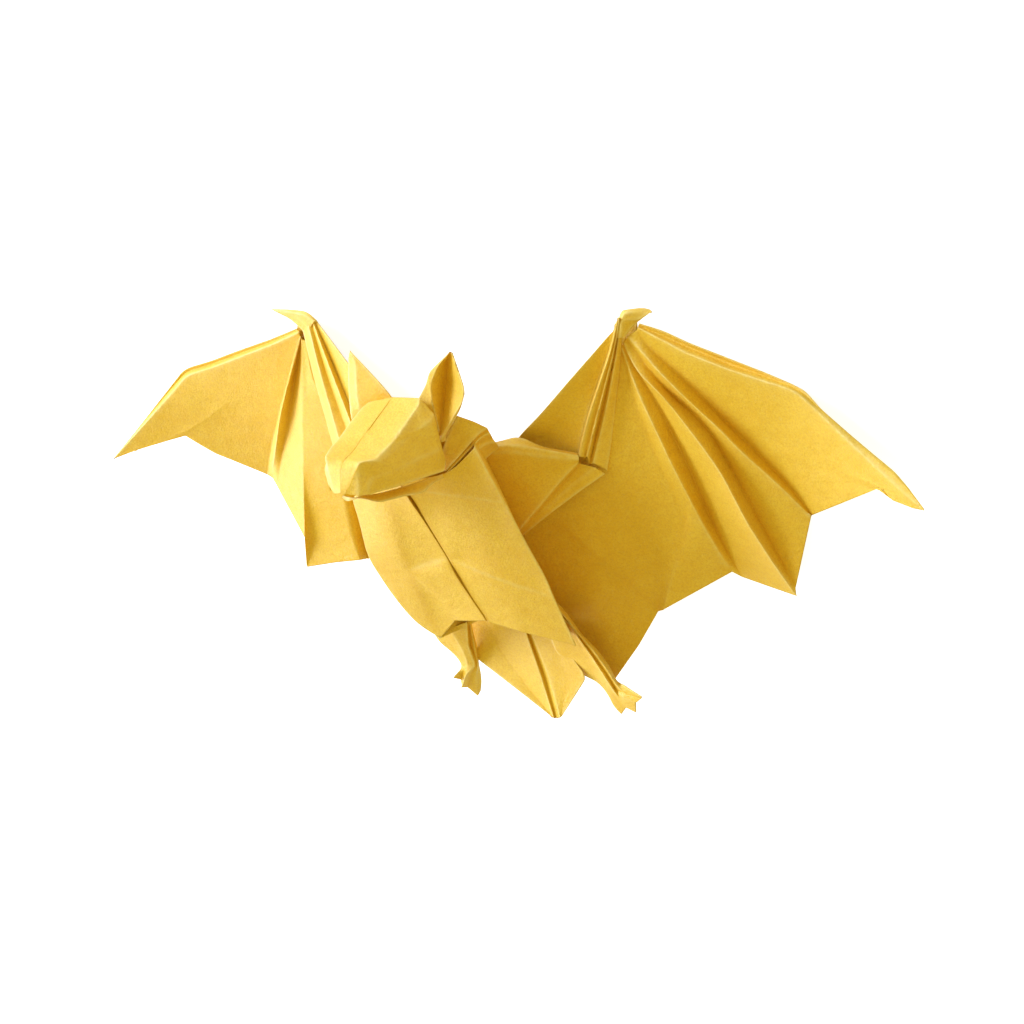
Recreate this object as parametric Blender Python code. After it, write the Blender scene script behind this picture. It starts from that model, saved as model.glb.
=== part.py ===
"""An origami bat, folded from one square of yellow paper, lying on its back.

The bat rests on its two thumb claws and on the second finger tip of each wing.
X runs out to the bat's left, Y towards its head and Z up from the surface.
Places below are in millimetres for the left half. The right half is its mirror image,
moved by a millimetre or two where the folding is uneven.
"""

import bmesh
import bpy
import numpy as np

MM = 0.001

# Sheet and gaps
SHEET = 0.34  # folded paper: two or three layers pressed together
SHORTEST_LENGTH = 0.001  # keeps a division from meeting a length of nothing
CORNER_SOFTNESS = 0.15  # share by which a sharp corner keeps to the mean of its facets
LONGEST_MITRE = 1.6  # how far a corner may reach, in half sheets

# Wing: the places where its folds start and end
APEX = (38.7, 35.2, 2.0)
WRIST_FRONT = (37.5, 37.7, 1.6)
LEADING_START = (42.1, 37.2, 1.2)
KNEE = (72.8, 26.5, 3.6)
WING_TIP = (94.9, 8.4, 10.6)
TIP_NOTCH = (81.5, 6.8, 2.8)
FINGER_ONE = (64.3, -1.3, 0.17)
FINGER_TWO = (58.5, -16.1, 4.4)
FINGER_THREE = (43.7, -14.4, 1.5)
TRAILING_CORNER = (28.3, -21.2, 6.1)
LEG_CORNER = (16.3, -33.8, 11.4)
MEMBRANE_MIDDLE = (31.4, -10.1, 4.9)

# Wing folds between the wrist and the finger tips, from the leading edge inwards
LEADING = ((51.0, 33.1, 0.9), (62.2, 29.1, 1.3))
HEM = ((51.3, 31.7, 2.6), (61.8, 28.0, 3.1))
VALLEY_ONE = ((50.3, 21.6, 2.0), (58.4, 9.2, 1.0))
RIDGE_ONE = ((49.2, 21.2, 3.6), (57.6, 8.6, 2.4))
VALLEY_TWO = ((48.5, 20.6, 1.9), (53.6, 5.0, 1.8))
EDGE_TWO = ((47.5, 20.8, 3.3), (52.9, 4.6, 3.2))
RIDGE_TWO = ((46.0, 22.2, 4.8), (51.6, 6.5, 4.9))
VALLEY_THREE = ((41.3, 20.0, 2.3), (42.9, 5.0, 1.9))
RIDGE_THREE = ((39.3, 21.0, 4.0), (41.3, 7.0, 3.7))

# Arm folds: half way along the forearm, and at the elbow
PROPATAGIUM_EDGE = (25.4, 27.3, 6.2)
ARM_FRONT = ((31.4, 27.1, 4.0), (23.0, 12.8, 7.0))
ARM_RIDGE_FRONT = ((33.1, 27.6, 4.8), (25.0, 13.3, 7.9))
ARM_GAP = ((33.5, 26.8, 3.5), (24.9, 11.5, 6.6))
ARM_RIDGE_BACK = ((34.6, 27.3, 4.2), (26.7, 10.2, 7.0))
ARM_BACK = ((35.0, 26.5, 2.7), (27.1, 8.8, 5.2))

# Shoulder flap over the upper arm
FLAP_SHOULDER = (8.8, 20.6, 15.6)
FLAP_WAIST = (9.4, 1.0, 13.9)
FLAP_HEM = (8.8, -0.8, 12.7)
FLAP_ELBOW = (25.6, 13.2, 8.2)
FLAP_ELBOW_HEM = (27.6, 9.4, 6.8)

# Back and tail: half widths of the spine strip and heights above the surface
SPINE_HALF_WIDTH = 5.5
NECK_Y = 26.5
SHOULDER_Y = 17.8
WAIST_Y = 2.0
HIP_Y = -20.0
NECK_HEIGHT = 10.4
SHOULDER_HEIGHT = 10.5
WAIST_HEIGHT = 10.8
HIP_HEIGHT = 11.4
SHOULDER_ROOT = (13.0, 17.6, 9.8)
TAIL_NOTCH = (12.8, -30.8, 13.4)
TAIL_TIP = (0.0, -43.3, 13.1)
TAIL_RIDGE = (0.9, -27.0, 13.2)
TAIL_RIDGE_TIP = (0.8, -42.6, 13.3)
TAIL_GROOVE_DEPTH = 1.1

# Belly panels either side of the slit
SLIT_TOP = (0.6, 16.5, 27.0)
SLIT_BOTTOM = (0.4, -15.4, 20.4)
BELLY_NECK = (9.0, 20.6, 24.6)
BELLY_TOP = (14.0, 23.8, 21.1)
BELLY_CHEST = (17.8, 13.8, 23.3)
BELLY_WAIST = (19.0, -4.6, 21.4)
BELLY_BOTTOM = (16.3, -22.0, 17.6)

# Head
HEAD_BACK_MIDDLE = (0.0, 33.7, 22.0)
HEAD_BACK = (7.0, 34.0, 23.8)
BROW = (6.6, 31.4, 32.4)
NOSE_TOP_MIDDLE = (0.0, 30.9, 38.5)
NOSE_TOP = (4.2, 31.6, 38.8)
NOSE_END_MIDDLE = (0.0, 26.1, 40.9)
NOSE_END = (2.6, 26.6, 41.2)
LIP_FRONT = (4.6, 25.6, 39.4)
LIP_MIDDLE = (7.4, 24.2, 34.5)
MOUTH_CORNER = (9.8, 21.6, 25.8)
CHEEK = (9.7, 28.7, 26.3)

# Lower jaw
JAW_TIP = (0.0, 23.6, 39.4)
JAW_FRONT = (4.0, 22.7, 37.9)
JAW_BACK = (8.0, 20.4, 30.8)
JAW_HINGE = (8.4, 19.4, 24.2)
JAW_WALL = 1.9
JAW_TIP_WALL = 0.63
JAW_TIP_LEAN = 0.3
JAW_BACK_DIP = 0.8
JAW_HINGE_DIP = 1.2
JAW_HINGE_REACH = 2.0

# Nape and collar
NAPE_MIDDLE = (0.0, 30.5, 15.5)
NAPE = (8.6, 29.0, 16.0)
NAPE_FOOT = (7.0, 24.5, 10.4)
COLLAR_INNER = (10.4, 27.3, 19.4)
COLLAR_OUTER = (14.6, 24.9, 16.6)
COLLAR_EDGE = (14.4, 24.8, 19.6)
COLLAR_FOOT = (11.5, 19.5, 10.2)

# Ears
EAR_TIP = (11.3, 39.6, 15.7)
EAR_INNER = (6.9, 36.7, 18.3)
EAR_ROOT = (5.6, 33.9, 20.9)
EAR_BOTTOM = (9.4, 27.0, 23.9)
EAR_OUTER = (14.0, 33.9, 18.5)
EAR_OUTER_LOW = (12.2, 29.0, 20.6)
EAR_BACK = (9.4, 32.0, 17.6)

# Legs and feet
LEG_TOP = (15.4, -20.6, 17.2)
LEG_UNDER = (12.0, -20.6, 12.0)
LEG_RIDGE = (15.4, -20.6, 14.2)
ANKLE_TOP = (18.0, -33.4, 14.8)
ANKLE_UNDER = (16.9, -33.2, 11.3)
ANKLE_RIDGE = (18.4, -33.4, 12.8)
TOES = ((19.8, -36.9, 15.8), (20.8, -39.0, 13.7), (19.6, -39.9, 10.9))
TOE_CLEFTS = ((19.4, -36.0, 13.9), (19.4, -37.0, 12.2))

# Thumb claw, whose tip touches the surface
CLAW_CORNER = (39.4, 40.2, 1.4)
CLAW_LOW = (42.0, 37.8, 1.4)
CLAW_TIP = (45.0, 39.3, 0.42)
CLAW_INNER = (40.3, 39.2, 3.0)

# Hand folding is not quite even: how far these places of the right half are moved
RIGHT_HALF_MOVES = {
    APEX: (1.5, -0.6, 0.0),
    WRIST_FRONT: (3.3, -0.9, -0.2),
    LEADING_START: (3.2, -1.6, 0.1),
    LEADING[0]: (1.5, -1.2, 0.0),
    LEADING[1]: (1.5, -0.8, -0.1),
    HEM[0]: (1.3, -0.9, -0.2),
    HEM[1]: (1.5, -0.4, -0.3),
    KNEE: (0.4, -0.9, 0.0),
    TIP_NOTCH: (-0.1, 2.8, -1.2),
    WING_TIP: (0.0, 0.4, -0.3),
    FINGER_TWO: (-0.3, -1.9, 0.8),
    FINGER_THREE: (0.1, -2.0, 1.4),
    PROPATAGIUM_EDGE: (-0.2, 1.9, -0.5),
    CLAW_CORNER: (4.3, -2.0, -0.2),
    CLAW_LOW: (3.2, -2.0, -0.1),
    CLAW_TIP: (0.8, -0.6, 0.0),
    CLAW_INNER: (4.9, -2.2, 0.0),
    BELLY_CHEST: (-0.8, -1.2, 0.3),
    BELLY_WAIST: (-2.0, -3.4, 0.2),
    BELLY_BOTTOM: (-0.7, -1.2, 0.1),
}
NO_MOVE = (0.0, 0.0, 0.0)

# The origin is on the surface, half way between the tail's tip and the claws
ORIGIN = (0.0, (TAIL_TIP[1] + CLAW_CORNER[1]) / 2, 0.0)


def mirrored(place, side):
    """The same place on the right half when side is -1."""
    if side == 1:
        return place
    move = RIGHT_HALF_MOVES.get(place, NO_MOVE)
    return (move[0] - place[0], move[1] + place[1], move[2] + place[2])


def strip(first, second):
    """Facets between two fold lines that have as many places each."""
    facets = []
    for i in range(len(first) - 1):
        facets.append((first[i], second[i], second[i + 1]))
        facets.append((first[i], second[i + 1], first[i + 1]))
    return facets


def one_side(facets, side):
    """The facets on the left for side 1, or the same facets of the right half for side -1."""
    if side == 1:
        return facets
    return [tuple(mirrored(place, side) for place in reversed(facet)) for facet in facets]


def both_halves(facets):
    """The facets of the left half and of the right half."""
    return one_side(facets, 1) + one_side(facets, -1)


def surface(facets):
    """Places and triangles of a folded surface. Places that two facets share become one."""
    places = []
    number = {}
    triangles = []
    for facet in facets:
        corners = []
        for place in facet:
            key = tuple(round(value, 4) for value in place)
            if key not in number:
                number[key] = len(places)
                places.append(key)
            corners.append(number[key])
        for i in range(1, len(corners) - 1):
            triangle = (corners[0], corners[i], corners[i + 1])
            if len(set(triangle)) == 3:
                triangles.append(triangle)
    return np.array(places), triangles


def turned_upward(places, triangles):
    """The triangles listed the same way round all over, and anticlockwise seen from above."""
    mesh = bmesh.new()
    corners = [mesh.verts.new(place) for place in places]
    for triangle in triangles:
        mesh.faces.new([corners[i] for i in triangle])
    bmesh.ops.recalc_face_normals(mesh, faces=mesh.faces)
    mesh.verts.index_update()
    turned = [tuple(vert.index for vert in face.verts) for face in mesh.faces]
    mesh.free()
    if facet_normals(places, turned)[:, 2].sum() < 0:
        turned = [triangle[::-1] for triangle in turned]
    return turned


def facet_normals(places, triangles):
    """Unit normals of the triangles."""
    corners = places[np.array(triangles)]
    normals = np.cross(corners[:, 1] - corners[:, 0], corners[:, 2] - corners[:, 0])
    lengths = np.linalg.norm(normals, axis=1, keepdims=True)
    return normals / np.maximum(lengths, SHORTEST_LENGTH)


def mitres(places, triangles):
    """For each place, the step that moves every facet around it out by half the sheet."""
    normals = facet_normals(places, triangles)
    half = SHEET / 2
    steps = np.zeros_like(places)
    for i in range(len(places)):
        around = np.array([normals[t] for t, corners in enumerate(triangles) if i in corners])
        mean = around.mean(axis=0)
        mean = mean / max(np.linalg.norm(mean), SHORTEST_LENGTH)
        left = around.T @ around + CORNER_SOFTNESS * np.eye(3)
        right = around.T @ np.full(len(around), half) + CORNER_SOFTNESS * half * mean
        step = np.linalg.solve(left, right)
        length = np.linalg.norm(step)
        steps[i] = step * min(1.0, LONGEST_MITRE * half / length)
    return steps


def folded_piece(name, facets, upright=False):
    """A closed solid of the sheet's thickness around a folded surface.

    With upright True each place moves straight up and down, which suits a wing that lies flat."""
    places, triangles = surface(facets)
    if upright:
        triangles = turned_upward(places, triangles)
        steps = np.tile((0.0, 0.0, SHEET / 2), (len(places), 1))
    else:
        steps = mitres(places, triangles)
    count = len(places)
    vertices = (np.concatenate([places + steps, places - steps]) - ORIGIN) * MM
    faces = [tuple(triangle) for triangle in triangles]
    faces += [tuple(count + i for i in reversed(triangle)) for triangle in triangles]
    edges = {(t[i], t[(i + 1) % 3]) for t in triangles for i in range(3)}
    for a, b in sorted(edges):
        if (b, a) not in edges:
            faces.append((a, count + a, count + b, b))
    mesh = bpy.data.meshes.new(name)
    mesh.from_pydata([tuple(v) for v in vertices], [], faces)
    mesh.validate()
    return bpy.data.objects.new(name, mesh)


def wing_facets():
    """The left wing: a pleated fan from the wrist, with the arm folds and the membrane."""
    leading = [LEADING_START, *LEADING, KNEE]
    hem = [APEX, *HEM, KNEE]
    valley_one = [APEX, *VALLEY_ONE, FINGER_ONE]
    ridge_one = [APEX, *RIDGE_ONE, FINGER_ONE]
    valley_two = [APEX, *VALLEY_TWO, FINGER_TWO]
    edge_two = [APEX, *EDGE_TWO, FINGER_TWO]
    ridge_two = [APEX, *RIDGE_TWO, FINGER_TWO]
    valley_three = [APEX, *VALLEY_THREE, FINGER_THREE]
    ridge_three = [APEX, *RIDGE_THREE, FINGER_THREE]
    lines = [leading, hem, valley_one, ridge_one, valley_two, edge_two, ridge_two]
    lines += [valley_three, ridge_three]
    facets = []
    for outer, inner in zip(lines, lines[1:]):
        facets += strip(inner, outer)
    facets.append((KNEE, FINGER_ONE, TIP_NOTCH))
    facets.append((KNEE, TIP_NOTCH, WING_TIP))
    arm = [[APEX, *line] for line in (ARM_BACK, ARM_RIDGE_BACK, ARM_GAP)]
    arm += [[WRIST_FRONT, *line] for line in (ARM_RIDGE_FRONT, ARM_FRONT)]
    for outer, inner in zip(arm, arm[1:]):
        facets += strip(inner, outer)
    shoulder = (SPINE_HALF_WIDTH, SHOULDER_Y, SHOULDER_HEIGHT)
    waist = (SPINE_HALF_WIDTH, WAIST_Y, WAIST_HEIGHT)
    hip = (SPINE_HALF_WIDTH, HIP_Y, HIP_HEIGHT)
    facets.append((WRIST_FRONT, PROPATAGIUM_EDGE, ARM_FRONT[0]))
    facets.append((ARM_FRONT[0], PROPATAGIUM_EDGE, ARM_FRONT[1]))
    facets.append((PROPATAGIUM_EDGE, SHOULDER_ROOT, ARM_FRONT[1]))
    facets.append((SHOULDER_ROOT, shoulder, waist))
    facets.append((SHOULDER_ROOT, waist, ARM_FRONT[1]))
    for outer, inner in zip(arm, arm[1:]):
        facets.append((inner[-1], waist, outer[-1]))
    middle = MEMBRANE_MIDDLE
    facets.append((APEX, ARM_BACK[0], RIDGE_THREE[0]))
    facets.append((ARM_BACK[0], RIDGE_THREE[1], RIDGE_THREE[0]))
    facets.append((ARM_BACK[0], ARM_BACK[1], RIDGE_THREE[1]))
    facets.append((ARM_BACK[1], middle, RIDGE_THREE[1]))
    facets.append((middle, FINGER_THREE, RIDGE_THREE[1]))
    facets.append((middle, TRAILING_CORNER, FINGER_THREE))
    facets.append((middle, LEG_CORNER, TRAILING_CORNER))
    facets.append((middle, hip, LEG_CORNER))
    facets.append((middle, waist, hip))
    facets.append((middle, ARM_BACK[1], waist))
    facets.append((hip, TAIL_NOTCH, LEG_CORNER))
    return facets


def back_facets():
    """The left half of the spine strip and of the tail, which end on the middle line."""
    neck = (SPINE_HALF_WIDTH, NECK_Y, NECK_HEIGHT)
    shoulder = (SPINE_HALF_WIDTH, SHOULDER_Y, SHOULDER_HEIGHT)
    waist = (SPINE_HALF_WIDTH, WAIST_Y, WAIST_HEIGHT)
    hip = (SPINE_HALF_WIDTH, HIP_Y, HIP_HEIGHT)
    middles = [(0.0, place[1], place[2]) for place in (neck, shoulder, waist, hip)]
    facets = strip(middles, [neck, shoulder, waist, hip])
    facets.append((neck, shoulder, SHOULDER_ROOT)[::-1])
    facets.append((middles[-1], hip, TAIL_RIDGE)[::-1])
    facets.append((hip, TAIL_NOTCH, TAIL_RIDGE))
    facets.append((TAIL_RIDGE, TAIL_NOTCH, TAIL_RIDGE_TIP))
    groove = (0.0, TAIL_RIDGE[1], TAIL_RIDGE[2] - TAIL_GROOVE_DEPTH)
    facets.append((middles[-1], TAIL_RIDGE, groove))
    facets.append((groove, TAIL_RIDGE, TAIL_RIDGE_TIP))
    facets.append((groove, TAIL_RIDGE_TIP, TAIL_TIP))
    return facets


def belly_facets():
    """The left belly panel, its outer fold and the layer that runs back under it."""
    shoulder = (SPINE_HALF_WIDTH, SHOULDER_Y, SHOULDER_HEIGHT)
    waist = (SPINE_HALF_WIDTH, WAIST_Y, WAIST_HEIGHT)
    hip = (SPINE_HALF_WIDTH, HIP_Y, HIP_HEIGHT)
    return [
        (SLIT_TOP, BELLY_TOP, BELLY_NECK),
        (SLIT_TOP, BELLY_CHEST, BELLY_TOP),
        (SLIT_TOP, BELLY_WAIST, BELLY_CHEST),
        (SLIT_TOP, SLIT_BOTTOM, BELLY_WAIST),
        (SLIT_BOTTOM, BELLY_BOTTOM, BELLY_WAIST),
        (BELLY_TOP, BELLY_CHEST, shoulder),
        (BELLY_CHEST, waist, shoulder),
        (BELLY_CHEST, BELLY_WAIST, waist),
        (BELLY_WAIST, hip, waist),
        (BELLY_WAIST, BELLY_BOTTOM, hip),
    ]


def head_facets():
    """The left half of the head, nape and collar."""
    return [
        (HEAD_BACK_MIDDLE, BROW, HEAD_BACK),
        (HEAD_BACK_MIDDLE, NOSE_TOP_MIDDLE, BROW),
        (NOSE_TOP_MIDDLE, NOSE_TOP, BROW),
        (NOSE_TOP_MIDDLE, NOSE_END, NOSE_TOP),
        (NOSE_TOP_MIDDLE, NOSE_END_MIDDLE, NOSE_END),
        (NOSE_TOP, NOSE_END, LIP_FRONT),
        (NOSE_TOP, LIP_FRONT, LIP_MIDDLE),
        (NOSE_TOP, LIP_MIDDLE, BROW),
        (BROW, LIP_MIDDLE, CHEEK),
        (BROW, CHEEK, HEAD_BACK),
        (CHEEK, LIP_MIDDLE, MOUTH_CORNER),
        (CHEEK, MOUTH_CORNER, EAR_BOTTOM),
        (HEAD_BACK, CHEEK, EAR_BOTTOM),
        (HEAD_BACK, EAR_BOTTOM, COLLAR_INNER),
        (EAR_BOTTOM, MOUTH_CORNER, COLLAR_EDGE),
        (EAR_BOTTOM, COLLAR_EDGE, COLLAR_INNER),
        (COLLAR_INNER, COLLAR_EDGE, COLLAR_OUTER),
        (HEAD_BACK, COLLAR_INNER, NAPE),
        (COLLAR_INNER, COLLAR_OUTER, NAPE),
        (COLLAR_OUTER, COLLAR_FOOT, NAPE),
        (COLLAR_FOOT, NAPE_FOOT, NAPE),
        (HEAD_BACK, NAPE, NAPE_MIDDLE),
        (HEAD_BACK_MIDDLE, HEAD_BACK, NAPE_MIDDLE),
        (NAPE_MIDDLE, NAPE, NAPE_FOOT),
        (NAPE_MIDDLE, NAPE_FOOT, (0.0, NAPE_FOOT[1], NAPE_FOOT[2])),
    ]


def jaw_facets():
    """The left half of the lower jaw: a tray with low walls."""
    lift = (0.0, JAW_WALL, 0.0)
    front_rim = tuple(a + b for a, b in zip(JAW_FRONT, lift))
    back_rim = tuple(a + b for a, b in zip(JAW_BACK, lift))
    tip_rim = (0.0, JAW_TIP[1] + JAW_TIP_WALL, JAW_TIP[2] + JAW_TIP_LEAN)
    back_middle = (0.0, JAW_BACK[1] - JAW_BACK_DIP, JAW_BACK[2])
    hinge_middle = (0.0, JAW_HINGE[1] - JAW_HINGE_DIP, JAW_HINGE[2] + JAW_HINGE_REACH)
    return [
        (JAW_TIP, back_middle, JAW_FRONT),
        (back_middle, JAW_BACK, JAW_FRONT),
        (back_middle, hinge_middle, JAW_BACK),
        (hinge_middle, JAW_HINGE, JAW_BACK),
        (JAW_FRONT, JAW_BACK, back_rim),
        (JAW_FRONT, back_rim, front_rim),
        (JAW_TIP, JAW_FRONT, front_rim),
        (JAW_TIP, front_rim, tip_rim),
        (JAW_BACK, JAW_HINGE, back_rim),
    ]


def ear_facets():
    """The left ear: a cup that opens forward and outward, and its narrow inner flap."""
    return [
        (EAR_TIP, EAR_INNER, EAR_BACK),
        (EAR_TIP, EAR_BACK, EAR_OUTER),
        (EAR_INNER, EAR_BOTTOM, EAR_BACK),
        (EAR_BACK, EAR_BOTTOM, EAR_OUTER_LOW),
        (EAR_BACK, EAR_OUTER_LOW, EAR_OUTER),
        (EAR_INNER, EAR_ROOT, EAR_BOTTOM),
    ]


def leg_facets():
    """The left leg: a narrow strip folded lengthways, with three toes."""
    first, second, third = TOES
    upper_cleft, lower_cleft = TOE_CLEFTS
    return [
        *strip([LEG_TOP, ANKLE_TOP], [LEG_RIDGE, ANKLE_RIDGE]),
        *strip([LEG_RIDGE, ANKLE_RIDGE], [LEG_UNDER, ANKLE_UNDER]),
        (ANKLE_TOP, ANKLE_RIDGE, upper_cleft),
        (ANKLE_TOP, upper_cleft, first),
        (ANKLE_RIDGE, lower_cleft, upper_cleft),
        (upper_cleft, lower_cleft, second),
        (ANKLE_RIDGE, ANKLE_UNDER, lower_cleft),
        (lower_cleft, ANKLE_UNDER, third),
    ]


def flap_facets():
    """The left shoulder flap and its hem, which run from the body to the elbow."""
    return [
        (FLAP_SHOULDER, FLAP_WAIST, FLAP_ELBOW),
        (FLAP_WAIST, FLAP_HEM, FLAP_ELBOW),
        (FLAP_HEM, FLAP_ELBOW_HEM, FLAP_ELBOW),
    ]


def claw_facets():
    """The left thumb claw at the wrist."""
    return [
        (CLAW_INNER, CLAW_TIP, CLAW_CORNER),
        (CLAW_INNER, CLAW_LOW, CLAW_TIP),
        (CLAW_INNER, APEX, CLAW_LOW),
        (CLAW_INNER, CLAW_CORNER, WRIST_FRONT),
        (CLAW_INNER, WRIST_FRONT, APEX),
    ]


def yellow_paper():
    """Matt yellow paper."""
    material = bpy.data.materials.new("yellow_paper")
    material.use_nodes = True
    shader = material.node_tree.nodes["Principled BSDF"]
    shader.inputs["Base Color"].default_value = (0.80, 0.52, 0.06, 1.0)
    shader.inputs["Roughness"].default_value = 0.85
    shader.inputs["Metallic"].default_value = 0.0
    return material


def build():
    """Makes the folded pieces and joins them into the one sheet that they are."""
    for old in list(bpy.data.objects):
        bpy.data.objects.remove(old, do_unlink=True)
    flat = both_halves(wing_facets() + back_facets())
    sheet = folded_piece("folded_sheet", flat, upright=True)
    bpy.context.scene.collection.objects.link(sheet)
    pieces = [
        folded_piece("head_fold", both_halves(head_facets())),
        folded_piece("jaw_fold", both_halves(jaw_facets())),
    ]
    for side, word in ((1, "left"), (-1, "right")):
        pieces.append(folded_piece(f"belly_fold_{word}", one_side(belly_facets(), side)))
        pieces.append(folded_piece(f"flap_fold_{word}", one_side(flap_facets(), side)))
        pieces.append(folded_piece(f"ear_fold_{word}", one_side(ear_facets(), side)))
        pieces.append(folded_piece(f"leg_fold_{word}", one_side(leg_facets(), side)))
        pieces.append(folded_piece(f"claw_fold_{word}", one_side(claw_facets(), side)))
    folds = bpy.data.collections.new("folds")
    bpy.context.scene.collection.children.link(folds)
    for piece in pieces:
        folds.objects.link(piece)
        piece.hide_render = True
        piece.display_type = "WIRE"
    join = sheet.modifiers.new("join_folds", "BOOLEAN")
    join.operation = "UNION"
    join.operand_type = "COLLECTION"
    join.collection = folds
    join.solver = "EXACT"
    sheet.data.materials.append(yellow_paper())


build()
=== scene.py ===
# %% [markdown]
# # A folded paper bat
#
# A square of thin yellow paper is folded into a bat that lies on its back with its wings spread.
# It is one sheet, so there is one finish, and each piece below is one fan of neighbouring folds.
# The scene dresses a CAD part of the same size: its box is read first, and the paper stays inside it.

import bpy
import numpy as np
from mathutils import Matrix, Vector


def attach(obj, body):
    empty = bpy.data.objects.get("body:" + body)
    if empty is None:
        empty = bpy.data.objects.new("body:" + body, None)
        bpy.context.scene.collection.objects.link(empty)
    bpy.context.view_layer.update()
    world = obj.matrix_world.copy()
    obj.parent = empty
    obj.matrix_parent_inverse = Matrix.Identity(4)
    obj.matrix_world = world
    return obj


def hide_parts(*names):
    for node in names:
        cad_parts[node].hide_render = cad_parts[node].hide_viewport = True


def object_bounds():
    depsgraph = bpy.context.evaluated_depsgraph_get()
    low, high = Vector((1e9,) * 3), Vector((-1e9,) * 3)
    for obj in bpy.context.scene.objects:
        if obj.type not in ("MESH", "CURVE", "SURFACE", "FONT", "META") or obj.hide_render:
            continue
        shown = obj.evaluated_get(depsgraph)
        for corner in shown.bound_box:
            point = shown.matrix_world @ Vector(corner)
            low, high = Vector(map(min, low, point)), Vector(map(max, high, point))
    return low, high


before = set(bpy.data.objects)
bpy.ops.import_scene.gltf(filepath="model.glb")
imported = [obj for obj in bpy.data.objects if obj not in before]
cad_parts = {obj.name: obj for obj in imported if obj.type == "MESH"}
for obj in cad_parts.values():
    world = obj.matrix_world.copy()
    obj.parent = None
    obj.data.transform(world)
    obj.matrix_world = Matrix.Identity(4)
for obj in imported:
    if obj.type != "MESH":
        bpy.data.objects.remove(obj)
cad_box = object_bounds()
print("CAD box", cad_box)

# %% [markdown]
# ## Measures
#
# Places on the bat are in millimetres: x to the bat's left wing tip, y towards its head, z up from the table.
# Blender works in metres, and the CAD part is centred in y, so both are put right in one place.

# %% Measures
MM = 0.001
CAD_SHIFT = (0.0, 1.55, 0.0)  # the CAD part is centred on its own length
PAPER = 0.16  # thickness in mm: a sheet of 80 g/m2 with a coat of colour
FOLD = 0.3  # radius at which this paper bends, mm
SLACK = 6.0  # radius of a bend that is no fold, only slack in a panel, mm
GROOVE = 1.5  # radius in the groove beside the rolled hem, mm
ROWS = 120  # points along a fold line
WING_ROWS = 180  # the same on the wings, which are larger
COLUMNS = 8  # points across a panel between two folds
BOX_MARGIN = np.array((0.18, 0.12, 0.01))  # room for the sheet's own thickness, mm
BOX_LOW = np.array(cad_box[0]) / MM - CAD_SHIFT + BOX_MARGIN  # nothing reaches past the CAD part's own box
BOX_HIGH = np.array(cad_box[1]) / MM - CAD_SHIFT - BOX_MARGIN

# %% [markdown]
# ## Lines of sight
#
# Most fold lines were traced over the photo: each point is a pixel, with a height above the table.
# The camera's own place and axes turn them into places on the bat.

# %% Camera and places
PICTURE = 1024  # width and height of the photo, px
FOCAL = 3000.0  # focal length, px
EYE = np.array((0.3488, 0.25472, 0.35026))  # where the camera stands, m
RIGHT = np.array((0.77486, -0.31913, -0.54565))  # the camera's own axes
UP = np.array((-0.05218, 0.82796, -0.55835))
BACK = np.array((0.62997, 0.46112, 0.62491))
START = EYE / MM - CAD_SHIFT  # the eye in the bat's own millimetres
WEB_HEIGHT, WEB_SLOPE_OUT, WEB_SLOPE_UP = 12.2, 0.2457, 0.03928  # the wing's flat skin, mm and mm per mm


def sights(pixels):
    """The way d from the eye through each pixel: d = (u - c) / f RIGHT - (v - c) / f UP - BACK."""
    u, v = ((np.array(pixels, float) - PICTURE / 2) / FOCAL).T[..., None]
    return u * RIGHT - v * UP - BACK


def stretched(values, count):
    """count values, read evenly along a shorter list."""
    return np.interp(np.linspace(0, 1, count), np.linspace(0, 1, len(values)), values)


def at_heights(pixels, heights):
    """P = E + d (z - E_z) / d_z: the place of each pixel at its height."""
    d = sights(pixels)
    return START + d * ((np.asarray(heights) - START[2]) / d[:, 2])[:, None]


def traced(pixels, heights):
    """Places along a traced fold, with the heights spread evenly over the trace's length."""
    steps = np.linalg.norm(np.diff(np.array(pixels, float), axis=0), axis=1)
    reach = np.r_[0, np.cumsum(steps)] / steps.sum()
    return at_heights(pixels, np.interp(reach, np.linspace(0, 1, len(heights)), heights))


def near_middle(pixels, offsets):
    """P = E + d (x - E_x) / d_x: places on the bat's middle plane, moved sideways by the offsets."""
    d = sights(pixels)
    return START + d * ((stretched(offsets, len(pixels)) - START[0]) / d[:, 0])[:, None]


def beside(pixels, places):
    """P = E + d (q - E) . d / d . d: the point on each line of sight that is nearest to a place q."""
    d = sights(pixels)
    near = np.sum((np.array(places) - START) * d, -1) / np.sum(d * d, -1)
    return START + d * near[:, None]


def on_web(pixels, lifts, side=1):
    """Places on the flat skin z = h - a |x| - b y + lift of one wing."""
    d = sights(pixels)
    slope = np.array((WEB_SLOPE_OUT * side, WEB_SLOPE_UP, 1.0))
    return START + d * ((WEB_HEIGHT + stretched(lifts, len(pixels)) - START @ slope) / (d @ slope))[:, None]


def bent(distance):
    """The thin plate's r^2 ln r, which is 0 at r = 0."""
    return distance**2 * np.log(np.maximum(distance, 1e-9))


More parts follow.
